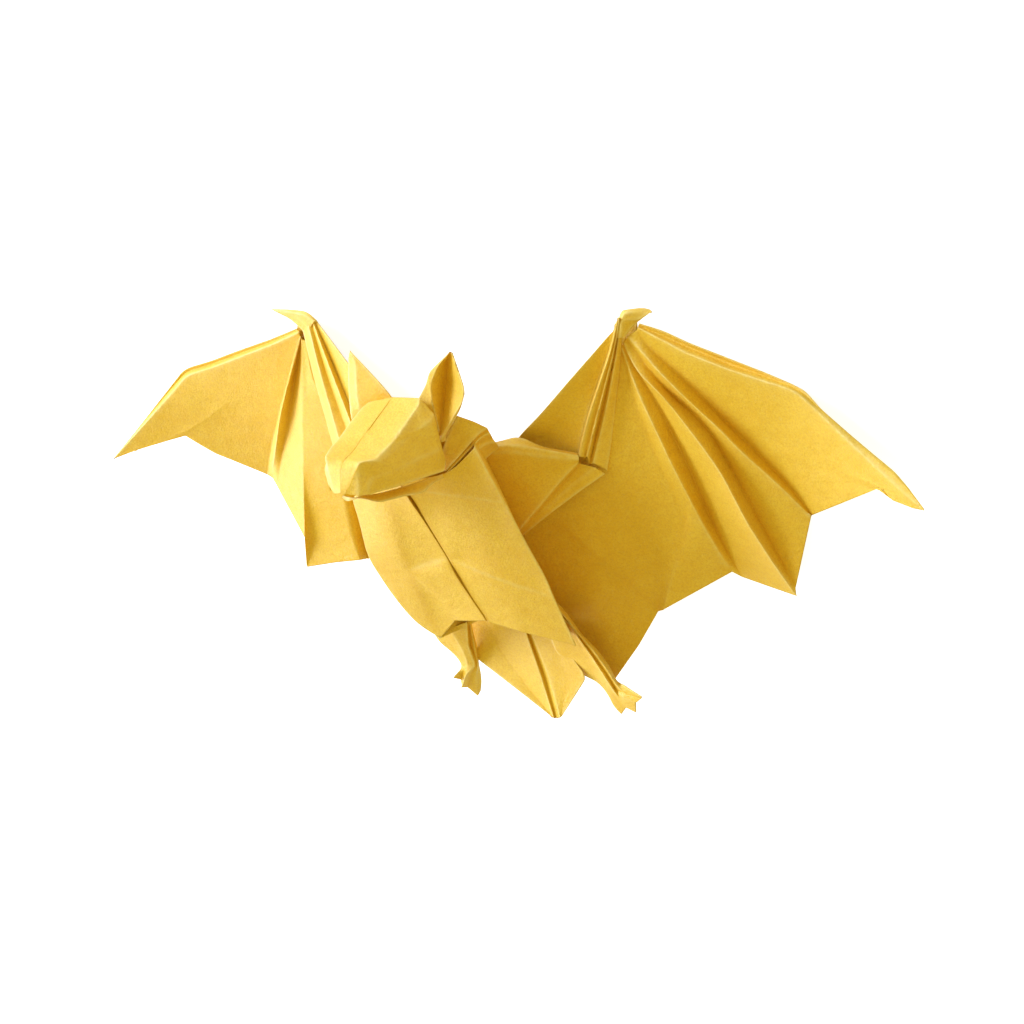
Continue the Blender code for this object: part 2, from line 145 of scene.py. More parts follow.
def on_membrane(pixels, lines, ease=1.5):
    """Places on the thin bent plate z(x, y) = a + b x + c y + sum of w_k r_k^2 ln r_k.

    r_k is the distance to the points of the lines given. A smaller `ease` brings the plate nearer to them.
    The height of each place is found by going back and forth between line of sight and plate.
    """
    known = np.concatenate(lines)
    flat = np.c_[np.ones(len(known)), known[:, :2]]
    bends = bent(np.linalg.norm(known[:, None, :2] - known[None, :, :2], axis=-1))
    system = np.block([[bends + ease * np.eye(len(known)), flat], [flat.T, np.zeros((3, 3))]])
    weights = np.linalg.solve(system, np.r_[known[:, 2], np.zeros(3)])
    heights = np.full(len(pixels), 2.0)
    for _ in range(60):
        places = at_heights(pixels, heights)
        pulls = bent(np.linalg.norm(places[:, None, :2] - known[None, :, :2], axis=-1))
        plate = pulls @ weights[:-3] + np.c_[np.ones(len(places)), places[:, :2]] @ weights[-3:]
        heights = (heights + np.maximum(plate, 0.15)) / 2
    return at_heights(pixels, heights)


def sunk(line, depths):
    """P - k BACK: the line moved k mm away from the camera, where it looks the same."""
    return np.asarray(line) - stretched(depths, len(line))[:, None] * BACK


def eased(lines, share):
    """Each inner fold in turn raised by a share of how deep it lies between its neighbours."""
    lines = [np.asarray(line, float) for line in lines]
    for k in range(1, len(lines) - 1):
        depth = (lines[k - 1] + lines[k + 1]) @ BACK / 2 - lines[k] @ BACK
        lines[k] = lines[k] + share * np.maximum(depth, 0)[:, None] * BACK
    return lines


def joined(*lines):
    """Lines end to end, each starting where the one before it ends."""
    return np.vstack([lines[0]] + [line[1:] for line in lines[1:]])


def mirrored(lines):
    """The same lines on the other side of the bat: x becomes -x."""
    return [np.asarray(line) * (-1, 1, 1) for line in lines]


# %% [markdown]
# ## Folded surfaces
#
# A folded surface is known by its fold lines: each goes through a few places, and flat paper spans the gaps.
# Paper never bends to a perfect corner: it turns round a radius of a few tenths of a millimetre,
# which is what catches the light on a ridge.


# %% Lines and folds
def spread(places, count, soft):
    """count points evenly spaced along the line through places.

    P(s) = mean of L(s + w k) for k = -1, -1/2, 0, 1/2, 1, where L is the polyline by arc length
    and w is `soft`, shortened near the ends so that the first and last place stay where they are.
    """
    places = np.asarray(places, float)
    reach = np.r_[0, np.cumsum(np.linalg.norm(np.diff(places, axis=0), axis=1))]
    s = np.linspace(0, reach[-1], count)
    w = np.minimum(soft, np.minimum(s, reach[-1] - s))
    offsets = s[:, None] + w[:, None] * np.linspace(-1, 1, 5)
    return np.stack([np.interp(offsets, reach, places[:, k]).mean(1) for k in range(3)], 1)


def unit(v):
    """v / |v| for every row, with |v| kept above a billionth."""
    return v / np.maximum(np.linalg.norm(v, axis=-1, keepdims=True), 1e-9)


def ripple(p, size, seed):
    """Slow waves of about `size` mm in a field over space, from -1 to 1.

    w(p) = mean of sin(2 pi (p . d_k) / (size l_k) + f_k) over six directions d_k.
    """
    rng = np.random.default_rng(seed)
    d = unit(rng.normal(size=(6, 3)))
    length = size * rng.uniform(0.6, 1.6, 6)
    return np.sin(2 * np.pi * (p @ d.T) / length + rng.uniform(0, 6.28, 6)).mean(-1)


def fold_wear_and_shade(distance):
    """Fold mark at a distance in mm from a fold: a narrow line in a wide faint band, pale on ridges as rubbed
    paper and painted highlight, and painted shade in valleys.
    """
    return 0.85 * np.exp(-((distance / 0.45) ** 2)) + 0.15 * np.exp(-((distance / 2.4) ** 1.4))


def pleats(lines, soft=2.5, fold=FOLD, rows=ROWS, columns=COLUMNS, cut=(1, 1)):
    """Folded paper between neighbouring fold lines: a grid of u along them and v across.

    In panel i: P(u, t) = L_i(u) + t (L_i+1(u) - L_i(u)), for t from 0 to 1.
    Round each fold, within r of it: P = L + (1 - w)^2 (A - L) + w^2 (B - L), A and B r away on either side.
    Returns the points, a fold mark (above 0 on ridges, painted pale as rubbed paper and painted highlight;
    below 0 in valleys, painted shade) and a mark for the cut edges (the same, with painted shade where `cut`
    is below 0).
    """
    n = len(lines)
    softs = np.broadcast_to(soft, n)
    rails = np.stack([spread(line, rows, s) for line, s in zip(lines, softs)])
    gaps = rails[1:] - rails[:-1]
    width = np.linalg.norm(gaps, axis=-1)
    steps = unit(gaps)
    along = unit(np.gradient(rails[:-1] + rails[1:], axis=1))
    normal = unit(np.cross(along, steps))
    radius = np.zeros((n, rows))
    folds = np.broadcast_to(fold, n)[1:-1, None]
    taper = 1 - 0.95 * np.linspace(0, 1, rows) ** 6  # the corners of the trailing edge stay sharp
    radius[1:-1] = np.minimum(folds * taper, 0.45 * np.minimum(width[:-1], width[1:]))
    inner = (1 - np.cos(np.pi * np.linspace(0, 1, columns))) / 2
    points, ridge, rim = [], [], []
    for i in range(n - 1):
        start, end = radius[i] / np.maximum(width[i], 1e-9), radius[i + 1] / np.maximum(width[i], 1e-9)
        edge = np.minimum(0.25 / np.maximum(width[i], 1e-9), 0.1)[:, None]
        across = np.concatenate([0 * edge, edge + (1 - 2 * edge) * inner, 0 * edge + 1], 1)
        t = start[:, None] + (1 - start - end)[:, None] * across
        points.append(rails[i][:, None] + t[..., None] * gaps[i][:, None])
        near, far = t * width[i][:, None], (1 - t) * width[i][:, None]
        turn = [0.0, 0.0]
        for side, k in ((0, i), (1, i + 1)):
            if 0 < k < n - 1:
                turn[side] = -np.sum((steps[k] - steps[k - 1]) * unit(normal[k] + normal[k - 1]), -1)[:, None]
                turn[side] = np.tanh(2 * turn[side]) * np.minimum(1, (0.5 / folds[k - 1]) ** 2)
        # fold mark for the colour: pale on ridges (rubbed paper and painted highlight), painted shade in
        # valleys
        ridge.append(turn[0] * fold_wear_and_shade(near) + turn[1] * fold_wear_and_shade(far))
        # cut mark: pale along cut edges, painted shade where cut is below 0
        first, last = cut[0] * (i == 0), cut[1] * (i == n - 2)
        rim.append(first * np.exp(-((near / 0.4) ** 2)) + last * np.exp(-((far / 0.4) ** 2)))
        if i < n - 2:
            a = -radius[i + 1][:, None] * steps[i]
            b = radius[i + 1][:, None] * steps[i + 1]
            for w in (0.2, 0.4, 0.5, 0.6, 0.8):
                points.append((rails[i + 1] + (1 - w) ** 2 * a + w**2 * b)[:, None])
                sharp = -np.sum((steps[i + 1] - steps[i]) * unit(normal[i + 1] + normal[i]), -1)
                # in the bend itself the full fold mark: pale on a ridge, painted shade in a valley
                ridge.append(np.tanh(2 * sharp)[:, None] * np.minimum(1, (0.5 / folds[i]) ** 2))
                rim.append(np.zeros((rows, 1)))
    return np.concatenate(points, 1), np.concatenate(ridge, 1), np.concatenate(rim, 1)


def fade(share):
    """1 / (1 + e^(-30 s)): from 0 to 1 across s = 0."""
    return 1 / (1 + np.exp(np.clip(-share * 30, -50, 50)))


def crossed(surface, creases, outward=(0, 0, 1)):
    """Light creases pressed across a finished surface, each from place A to place B with a slope.

    With d the distance past the line AB on the side of k = outward x AB, the paper sinks by
    slope m exp(-m / R), where m = (d + sqrt(d^2 + s^2)) / 2, s is how soft the crease is and R its reach.
    It fades beyond both ends of the line. A slope below 0 raises the paper.
    """
    points, ridge, rim = surface
    up = unit(np.array(outward, float))
    for a, b, slope, reach, soft in creases:
        a, b = np.array(a, float), np.array(b, float)
        along = unit(b - a)
        side = unit(np.cross(up, along))
        d = (points - a) @ side
        m = (d + np.sqrt(d**2 + soft**2)) / 2
        share = (points - a) @ along / np.linalg.norm(b - a)
        within = fade(share) * fade(1 - share)
        points = points - (within * slope * m * np.exp(-m / reach))[..., None] * up
        # the crease is marked in the colour too: pale for a slope above 0, painted shade for one below 0
        ridge = ridge + within * 1.1 * np.tanh(2 * slope) * np.exp(-((d / (0.2 + soft)) ** 2))
    return points, ridge, rim


# %% Paper sheets
def paper_piece(name, surface, outward=(0, 0, 1), wave=0.05, seed=1):
    """Turns a grid of points in mm into a sheet with two faces, facing outward, riding on the CAD part."""
    points, ridge, rim = surface
    rows, columns = points.shape[:2]
    du, dv = np.gradient(points, axis=0), np.gradient(points, axis=1)
    normal = unit(np.cross(du, dv))
    flip = np.sum(normal.mean((0, 1)) * np.array(outward)) < 0
    if flip:
        normal = -normal
    points = points + wave * ripple(points, 14.0, seed)[..., None] * normal
    points = np.clip(points, BOX_LOW, BOX_HIGH)
    index = np.arange(rows * columns).reshape(rows, columns)
    quads = np.stack([index[:-1, :-1], index[1:, :-1], index[1:, 1:], index[:-1, 1:]], -1).reshape(-1, 4)
    if flip:
        quads, ridge = quads[:, ::-1], -ridge
    mesh = bpy.data.meshes.new(name)
    mesh.from_pydata(((points + CAD_SHIFT) * MM).reshape(-1, 3).tolist(), [], quads.tolist())
    # fold_mark and cut_mark colour the paper: pale on ridges and cut edges, as rubbed paper and painted
    # highlight, and painted shade in valleys and along cut edges marked below 0
    for label, values in (("fold_mark", ridge), ("cut_mark", rim)):
        marks = mesh.attributes.new(label, "FLOAT", "POINT")
        marks.data.foreach_set("value", values.astype(np.float32).ravel())
    mesh.shade_smooth()
    piece = bpy.data.objects.new(name, mesh)
    bpy.context.collection.objects.link(piece)
    sheet = piece.modifiers.new("paper", "SOLIDIFY")
    sheet.thickness, sheet.offset = PAPER * MM, -1
    mesh.materials.append(PAPER_FINISH)
    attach(piece, "root")
    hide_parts("folded_sheet")
    print(name, len(mesh.vertices), "points")
    return piece


# %% [markdown]
# ## The paper
#
# Yellow art paper: a dyed pulp, so the colour goes through, with curly fibres and small darker flecks.
# Where it is folded the fibres break and ridges rub pale, with painted highlight on top; valleys get painted
# shade, darker and more orange.


# %% Paper groups
def group(name, outputs):
    """An empty node group that gives out one number for each label."""
    g = bpy.data.node_groups.new(name, "ShaderNodeTree")
    for label in outputs:
        g.interface.new_socket(label, in_out="OUTPUT", socket_type="NodeSocketFloat")
    return g, g.nodes.new("NodeGroupOutput")


def add(tree, kind, values=(), links=(), **settings):
    """One node: settings on the node, values on its sockets, links from other sockets."""
    node = tree.nodes.new(kind)
    for key, value in settings.items():
        setattr(node, key, value)
    for key, value in values:
        node.inputs[key].default_value = value
    for key, source in links:
        tree.links.new(source, node.inputs[key])
    return node


def noise(tree, place, scale, detail, **more):
    """Noise with `scale` waves per metre; further sockets by name."""
    values = [("Scale", scale), ("Detail", detail)] + list(more.items())
    return add(tree, "ShaderNodeTexNoise", values, [("Vector", place)]).outputs["Fac"]


def mapped(tree, source, low, high, to_low=0.0, to_high=1.0):
    """The range from low to high, spread over to_low to to_high."""
    values = [("From Min", low), ("From Max", high), ("To Min", to_low), ("To Max", to_high)]
    return add(tree, "ShaderNodeMapRange", values, [("Value", source)]).outputs["Result"]


def fibre_group():
    """Fibres, flecks and cloudiness of pressed pulp, all from where a point is on the object."""
    g, end = group("paper_fibres", ["Cloud", "Crumple", "Fleck", "Fibre", "Grain"])
    place = add(g, "ShaderNodeTexCoord").outputs["Object"]
    broad = noise(g, place, 55.0, 3.0, Roughness=0.6)
    patch = noise(g, place, 420.0, 4.0, Roughness=0.65)
    cloud = add(g, "ShaderNodeMath", [], [(0, broad), (1, patch)], operation="ADD")
    g.links.new(cloud.outputs[0], end.inputs["Cloud"])
    dent = noise(g, place, 240.0, 3.0, Roughness=0.5)
    g.links.new(dent, end.inputs["Crumple"])
    speck = noise(g, place, 2600.0, 2.0, Roughness=0.7)
    g.links.new(mapped(g, speck, 0.42, 0.68), end.inputs["Fleck"])
    bend = noise(g, place, 700.0, 1.5, Distortion=1.2)
    off = add(g, "ShaderNodeMath", [(1, 0.5)], [(0, bend)], operation="SUBTRACT")
    size = add(g, "ShaderNodeMath", [], [(0, off.outputs[0])], operation="ABSOLUTE")
    g.links.new(mapped(g, size.outputs[0], 0.0, 0.012, 1.0, 0.0), end.inputs["Fibre"])
    tooth = noise(g, place, 2300.0, 4.0, Roughness=0.75)
    g.links.new(tooth, end.inputs["Grain"])
    return g


def wear_and_shade_group():
    """How pale a point is painted on ridges and cut edges, as rubbed paper and painted highlight, and how
    much painted shade it gets in a valley or along a cut edge marked below 0.
    """
    g, end = group("fold_wear_and_painted_shade", ["Pale", "PaintedShade"])
    place = add(g, "ShaderNodeTexCoord").outputs["Object"]
    fold = add(g, "ShaderNodeAttribute", attribute_name="fold_mark").outputs["Fac"]
    cut = add(g, "ShaderNodeAttribute", attribute_name="cut_mark").outputs["Fac"]
    share = mapped(g, noise(g, place, 900.0, 3.0), 0.3, 0.62, 0.45, 1.0)
    # pale on ridges and cut edges: partly rubbed paper, partly painted highlight
    both = add(g, "ShaderNodeMath", [], [(0, fold), (1, cut)], operation="MAXIMUM")
    wear_and_highlight_links = [(0, both.outputs[0]), (1, share)]
    pale_wear_and_highlight = add(g, "ShaderNodeMath", [], wear_and_highlight_links, operation="MULTIPLY", use_clamp=True)
    g.links.new(pale_wear_and_highlight.outputs[0], end.inputs["Pale"])
    # painted shade: the fold and cut marks below 0, in valleys and along cut edges marked below 0
    low = add(g, "ShaderNodeMath", [], [(0, fold), (1, cut)], operation="MINIMUM")
    painted_shade = add(g, "ShaderNodeMath", [(1, -1.0)], [(0, low.outputs[0])], operation="MULTIPLY", use_clamp=True)
    g.links.new(painted_shade.outputs[0], end.inputs["PaintedShade"])
    return g


# %% Paper material
BASE = (0.95, 0.65, 0.042, 1)
CLOUDED = (0.9, 0.56, 0.02, 1)
FLECKED = (0.77, 0.43, 0.014, 1)
# pale colour of the fibres, and on ridges and cut edges of rubbed paper with painted highlight
PALE_FIBRE_AND_HIGHLIGHT = (0.96, 0.79, 0.25, 1)
# painted shade: the darker, more orange colour laid into valleys and along cut edges marked below 0
PAINTED_VALLEY_SHADE = (0.82, 0.45, 0.012, 1)
TOOTH = 0.0002  # depth of the paper's tooth, m
FIBRE_HEIGHT, CRUMPLE_HEIGHT = 0.12, 1.5  # as shares of the tooth


def paper_material():
    """The one finish: base colour mixed by the two groups, a matt face and fine tooth."""
    material = bpy.data.materials.new("yellow_art_paper")
    material.use_nodes = True
    tree = material.node_tree
    shader = tree.nodes["Principled BSDF"]
    fibres = add(tree, "ShaderNodeGroup", node_tree=fibre_group())
    fold_wear_and_shade = add(tree, "ShaderNodeGroup", node_tree=wear_and_shade_group())

    def mix(a, b, amount, strength):
        values, links = [(1, strength)], [(0, amount)]
        part = add(tree, "ShaderNodeMath", values, links, operation="MULTIPLY", use_clamp=True)
        node = add(tree, "ShaderNodeMix", data_type="RGBA")
        tree.links.new(part.outputs[0], node.inputs["Factor"])
        for value, socket in ((a, node.inputs[6]), (b, node.inputs[7])):
            if isinstance(value, tuple):
                socket.default_value = value
            else:
                tree.links.new(value, socket)
        return node.outputs[2]

    colour = mix(BASE, CLOUDED, mapped(tree, fibres.outputs["Cloud"], 0.8, 1.2), 0.8)
    colour = mix(colour, FLECKED, fibres.outputs["Fleck"], 0.6)
    colour = mix(colour, PALE_FIBRE_AND_HIGHLIGHT, fibres.outputs["Fibre"], 0.2)
    # painted shade in valleys and along cut edges marked below 0
    colour = mix(colour, PAINTED_VALLEY_SHADE, fold_wear_and_shade.outputs["PaintedShade"], 0.55)
    # pale ridges and cut edges: rubbed paper and painted highlight
    colour = mix(colour, PALE_FIBRE_AND_HIGHLIGHT, fold_wear_and_shade.outputs["Pale"], 0.6)
    tree.links.new(colour, shader.inputs["Base Color"])
    rough = mapped(tree, fibres.outputs["Grain"], 0.0, 1.0, 0.45, 0.65)
    tree.links.new(rough, shader.inputs["Roughness"])
    height = fibres.outputs["Grain"]
    for label, strength in (("Fibre", FIBRE_HEIGHT), ("Crumple", CRUMPLE_HEIGHT)):
        part = [(0, fibres.outputs[label]), (2, height)]
        height = add(tree, "ShaderNodeMath", [(1, strength)], part, operation="MULTIPLY_ADD").outputs[0]
    bump = add(tree, "ShaderNodeBump", [("Strength", 1.0), ("Distance", TOOTH)], [("Height", height)])
    tree.links.new(bump.outputs["Normal"], shader.inputs["Normal"])
    shader.inputs["Specular IOR Level"].default_value = 0.5
    return material


PAPER_FINISH = paper_material()
print("paper made:", PAPER_FINISH.name)

# %% [markdown]
# ## Wings
#
# Each wing is a fan of pleats that starts at the wrist and opens to the trailing edge.
# The fold lines are listed from the leading edge inwards, so the grid's first panel is the rolled hem.

# %% Left wing
LEFT_OUTLINE = traced(
    [(639, 324), (663, 331.5), (688, 343), (732, 360.5), (761, 371.5), (791, 384), (804, 390.5),
     (823, 410.5), (851, 435), (895, 472), (908, 487), (925, 510)],
    [1.7, 1.4, 1.5, 2, 3.4, 5, 7.4, 10.4],
)
LEFT_GROOVE = traced(
    [(638.5, 325.5), (688, 346.5), (731, 364.5), (760, 374.5), (790, 386), (802, 392.5), (822.5, 411.5),
     (850.5, 436.5), (894, 474), (907.5, 488.5), (925, 510.3)],
    [1.3, 0.8, 0.9, 1.9, 3.6, 5.5, 7.9, 10.5],
)
LEFT_HEM = traced(
    [(637.5, 327), (687, 353.5), (731, 370.5), (760, 380), (788, 388.5), (800, 395), (820, 414),
     (872, 464), (906, 495), (924.6, 510.6)],
    [2, 2.6, 3, 3.3, 4.2, 6.2, 8.4, 10.6],
)
LEFT_VALLEY_A = traced(
    [(637, 330), (644, 343.4), (661.6, 358.5), (702.7, 398.5), (724.7, 421), (776, 472), (795, 492),
     (811.5, 515.5)],
    [1.9, 1.4, 0.8, 0.4, 0.25, 0.2, 0.2],
)
LEFT_PANEL_4 = on_membrane(
    [(637.3, 328), (690, 366), (740, 394), (790, 422), (830, 450), (858, 470), (882, 486), (895, 497),
     (913, 508.5)],
    [LEFT_HEM, LEFT_VALLEY_A],
)
LEFT_PANEL_3 = joined(
    on_membrane([(637.2, 328.5), (690, 371), (740, 402), (790, 435), (830, 463)], [LEFT_HEM, LEFT_VALLEY_A]),
    at_heights([(830, 463), (856, 477.5)], [5.1, 5.75]),
    traced([(856, 477.5), (872, 483.5), (884, 489.3), (892, 500.3)], [5.75, 6.9, 7.75, 8.3]),
)
LEFT_PANEL_2 = on_membrane(
    [(637.1, 329), (690, 375), (740, 409), (790, 446), (830, 472), (857, 484.5), (870, 488.3),
     (877, 488.6), (880.5, 487.5)],
    [LEFT_HEM, LEFT_VALLEY_A],
)
LEFT_PANEL_1 = on_membrane(
    [(637, 329.5), (680, 370), (720, 404), (760, 441), (795, 473), (820, 491), (846, 501.5)],
    [LEFT_HEM, LEFT_VALLEY_A],
)
LEFT_RIDGE_A = traced(
    [(627, 336.5), (643, 353.5), (659, 372), (682, 395), (702.7, 414), (720.3, 429.5), (738, 448.5),
     (783.4, 489), (803, 509), (811.3, 516.2)],
    [2.2, 3.6, 4.1, 4, 3.6, 2.8, 1.9, 0.6],
)
LEFT_VALLEY_B = traced(
    [(625.4, 338.7), (644.6, 362.8), (654, 375.4), (672, 395.4), (690, 409.9), (711, 431.9), (730, 465.9),
     (760, 523), (780.6, 560.8), (795.5, 587.3)],
    [1.9, 2.2, 2, 1.9, 1.9, 2, 2.4, 3.9],
)
LEFT_RIDGE_C = traced(
    [(623, 342.5), (629, 358), (639, 375), (655, 388.5), (671, 406), (705, 450.5), (722, 474.5),
     (748, 524.5), (773, 563), (796.5, 596)],
    [2.2, 4.3, 5.6, 6, 6, 6, 5.4, 4.4],
)
LEFT_VALLEY_D = traced(
    [(622.5, 344.5), (632, 362), (659, 406), (691, 472), (709, 515), (725, 547), (742, 577)],
    [1.9, 1.9, 1.8, 1.5, 1.2, 1, 1.4],
)
LEFT_RIDGE_D = traced(
    [(620.5, 346), (632, 377), (644, 406), (657, 433), (670, 461), (687, 494), (703, 524), (718, 550),
     (732, 572)],
    [2.2, 3.6, 4.6, 5, 4.8, 3.9, 1.8],
)
LEFT_FRONT_WEB = on_web(
    [(619.8, 347.5), (629, 380), (637, 408), (650, 440), (661, 468), (676, 500), (687, 517), (684, 540),
     (674, 572), (663, 610)],
    [0.2, 0.4, 0.5, 0.5, 0.6, 0.8, 1.1, 1.3, 1.6, 1.7],
)
LEFT_MID_WEB = on_web(
    [(619.3, 348), (626, 395), (633, 440), (639, 490), (646, 540), (652, 580), (658, 611.5)],
    [0.3, 0.4, 0.2, 0],
)
LEFT_REAR_WEB = on_web(
    [(618.6, 348.5), (620, 395), (622, 440), (618, 490), (613, 545), (625, 600), (639, 645)],
    [0.3, 0.3, 0],
)
LEFT_LEG_WEB = on_web(
    [(618, 349), (617, 395), (614, 440), (605, 490), (585, 545), (594, 620), (614.5, 680)],
    [0.3, 0.3, 0],
)
LEFT_BODY_WEB = [
    (36.3, 32.6, 2.3), (31, 25, 3.6), (19, 9, 7.2), (15, 0, 8.5), (13, -10, 9.2), (12.5, -20, 9.7),
    (12.5, -30, 10),
]
LEFT_INNER_WEB = [
    (37.2, 34.4, 1.2), (28, 28, 4.2), (19, 21, 7.4), (11, 15, 9.2), (7, 4, 10.2), (6, -8, 10.6),
    (6, -18, 11), (8, -28, 11.2),
]
LEFT_WING = [LEFT_OUTLINE, LEFT_GROOVE, LEFT_HEM]
LEFT_WING += [LEFT_PANEL_4, LEFT_PANEL_3, LEFT_PANEL_2, LEFT_PANEL_1]
LEFT_WING += [LEFT_VALLEY_A, LEFT_RIDGE_A, LEFT_VALLEY_B, LEFT_RIDGE_C, LEFT_VALLEY_D, LEFT_RIDGE_D]
LEFT_WING += [LEFT_FRONT_WEB, LEFT_MID_WEB, LEFT_REAR_WEB, LEFT_LEG_WEB, LEFT_BODY_WEB, LEFT_INNER_WEB]
LEFT_WING_SOFT = [0.8] * 3 + [2.0] * 10 + [0.8] + [2.0] * 5  # the hem and the web's front edge turn sharply
LEFT_WING_RADII = [FOLD, GROOVE] + [FOLD] + [SLACK] * 4 + [FOLD] * 6 + [0.8] + [SLACK] * 5
LEFT_WING_FOLDED = pleats(LEFT_WING, soft=LEFT_WING_SOFT, rows=WING_ROWS, fold=LEFT_WING_RADII)
LEFT_WING_CREASES = [((28.6, -21.0, 6.0), (13.8, 0.5, 8.8), 0.25, 3.5, 0.3)]
paper_piece("wing_left", crossed(LEFT_WING_FOLDED, LEFT_WING_CREASES), seed=3)

# %% Right wing
RIGHT_OUTLINE = traced(
    [(297.5, 328.6), (270, 340), (240, 350.5), (210, 361.8), (189, 368), (182.5, 372), (165, 394),
     (131, 436.5), (113, 459)],
    [1.6, 1.2, 1.4, 2, 3.4, 5.6, 8, 10.2],
)
RIGHT_GROOVE = traced(
    [(298, 330), (271, 342), (241, 353), (211, 364.5), (190, 370.5), (183.5, 374), (166, 395),
     (131.7, 436.7), (113, 459)],
    [1.4, 0.9, 1, 1.6, 3.2, 5.6, 8.1, 10.2],
)
RIGHT_HEM = traced(
    [(299, 332), (272, 344.5), (213, 367), (192, 373.5), (185, 377), (168, 397.5), (132.5, 437.5),
     (113.3, 459.2)],
    [2, 2.3, 2.6, 3, 4.2, 6.2, 8.4, 10.3],
)
RIGHT_VALLEY_A = traced(
    [(300, 336), (279, 415), (273, 440), (269, 460), (267, 474.5)],
    [1.9, 1.5, 1, 0.6, 0.3, 0.2],
)
RIGHT_PANEL_3 = on_membrane(
    [(299.2, 333), (270, 357), (240, 383), (215, 405), (200, 418), (190, 426), (176, 434), (158, 442.5),
     (136, 450.5)],
    [RIGHT_HEM, RIGHT_VALLEY_A],
)
RIGHT_PANEL_2 = on_membrane(
    [(299.4, 334), (272, 362), (245, 390), (222, 411), (206, 423), (196, 430), (190, 433.5),
     (187.5, 434.8), (186, 435.3)],
    [RIGHT_HEM, RIGHT_VALLEY_A],
)
RIGHT_PANEL_1 = on_membrane(
    [(299.6, 335), (280, 368), (262, 398), (248, 420), (238, 434), (230, 444), (222, 451), (216, 453.5)],
    [RIGHT_HEM, RIGHT_VALLEY_A],
)
RIGHT_RIDGE_A = traced(
    [(300.5, 337), (295, 358), (289.8, 377), (284, 398), (279.5, 418), (273, 465), (272.5, 478)],
    [2.2, 3.6, 4, 3.6, 2.8, 1.6, 0.4],
)
RIGHT_VALLEY_B = traced(
    [(301, 338), (290, 408), (282, 455), (278.5, 475), (277.5, 487)],
    [1.9, 1.6, 1.2, 0.8, 0.7, 0.8, 1.2],
)
RIGHT_EDGE_B = traced(
    [(301.5, 339), (301.5, 362), (301.2, 385), (301, 408), (302, 440), (303, 475), (304, 508),
     (305.3, 539)],
    [2.2, 3.2, 3.3, 3.3, 3.5, 4.2, 5.2],
)
RIGHT_PANEL_C = traced(
    [(302.5, 340), (304.5, 362), (307, 388), (311, 445), (313, 480), (312, 520), (307, 567)],
    [2.2, 3.2, 3.4, 3.4, 3.4, 3.4, 3.4, 4.6],
)
RIGHT_FOLD_D = traced(
    [(306, 341), (310.7, 374), (325.5, 401), (334, 436), (341, 475), (348, 510), (360, 560)],
    [2.2, 3.6, 3.8, 3.4, 3.2, 3, 3, 3.2],
)
RIGHT_VALLEY_D = on_membrane(
    [(303, 340), (306.5, 360), (311, 384), (318, 408), (325, 435), (330, 470), (334, 515), (336, 562.5)],
    [RIGHT_PANEL_C, RIGHT_FOLD_D], ease=0.5,
)
RIGHT_MID_WEB = on_web(
    [(307, 338), (314, 360), (322, 384), (333, 408), (342, 440), (350.5, 475), (358.5, 505),
     (368.5, 558.3)],
    [0.3, 0.3, -0.2, -1, -1.2],
    side=-1,
)
RIGHT_LEG_WEB = on_web(
    [(308, 337), (318, 360), (330, 384), (345, 410), (352, 440), (356, 475), (362, 505), (373, 558)],
    [0.3, 0.6, 0.2, -0.4, -0.6],
    side=-1,
)
RIGHT_INNER_WEB = [
    (-35.6, 34, 1.2), (-28, 28, 4.2), (-19, 21, 7.4), (-12, 15, 9.2), (-9, 4, 10.2), (-8, -4, 10.6),
    (-8, -10, 11), (-9, -14, 11.2),
]
RIGHT_WING = [RIGHT_OUTLINE, RIGHT_GROOVE, RIGHT_HEM, RIGHT_PANEL_3, RIGHT_PANEL_2, RIGHT_PANEL_1]
RIGHT_WING += [RIGHT_VALLEY_A, RIGHT_RIDGE_A, RIGHT_VALLEY_B, RIGHT_EDGE_B, RIGHT_PANEL_C, RIGHT_VALLEY_D]
RIGHT_WING += [RIGHT_FOLD_D, RIGHT_MID_WEB, RIGHT_LEG_WEB, RIGHT_INNER_WEB]
RIGHT_WING_SOFT = [0.8] * 3 + [2.0] * 13
RIGHT_WING_RADII = [FOLD, GROOVE, FOLD] + [SLACK] * 3 + [FOLD] * 3 + [1.0, SLACK, SLACK, 2.0, 0.5, 3.0, SLACK]
RIGHT_WING_FOLDED = pleats(RIGHT_WING, soft=RIGHT_WING_SOFT, rows=WING_ROWS, fold=RIGHT_WING_RADII)
KNEE, NOTCH = at_heights([(183, 374), (186, 435)], [2.6, 2.4])
paper_piece("wing_right", crossed(RIGHT_WING_FOLDED, [(KNEE, NOTCH, -0.12, 5.0, 2.0)]), seed=4)

# %% [markdown]
# ## Arms
#
# The arm is a bundle of narrow pleats between wrist and elbow, standing on edge.
# In front of it a plain panel runs to the shoulder, and a flap from the elbow covers the belly's edge.

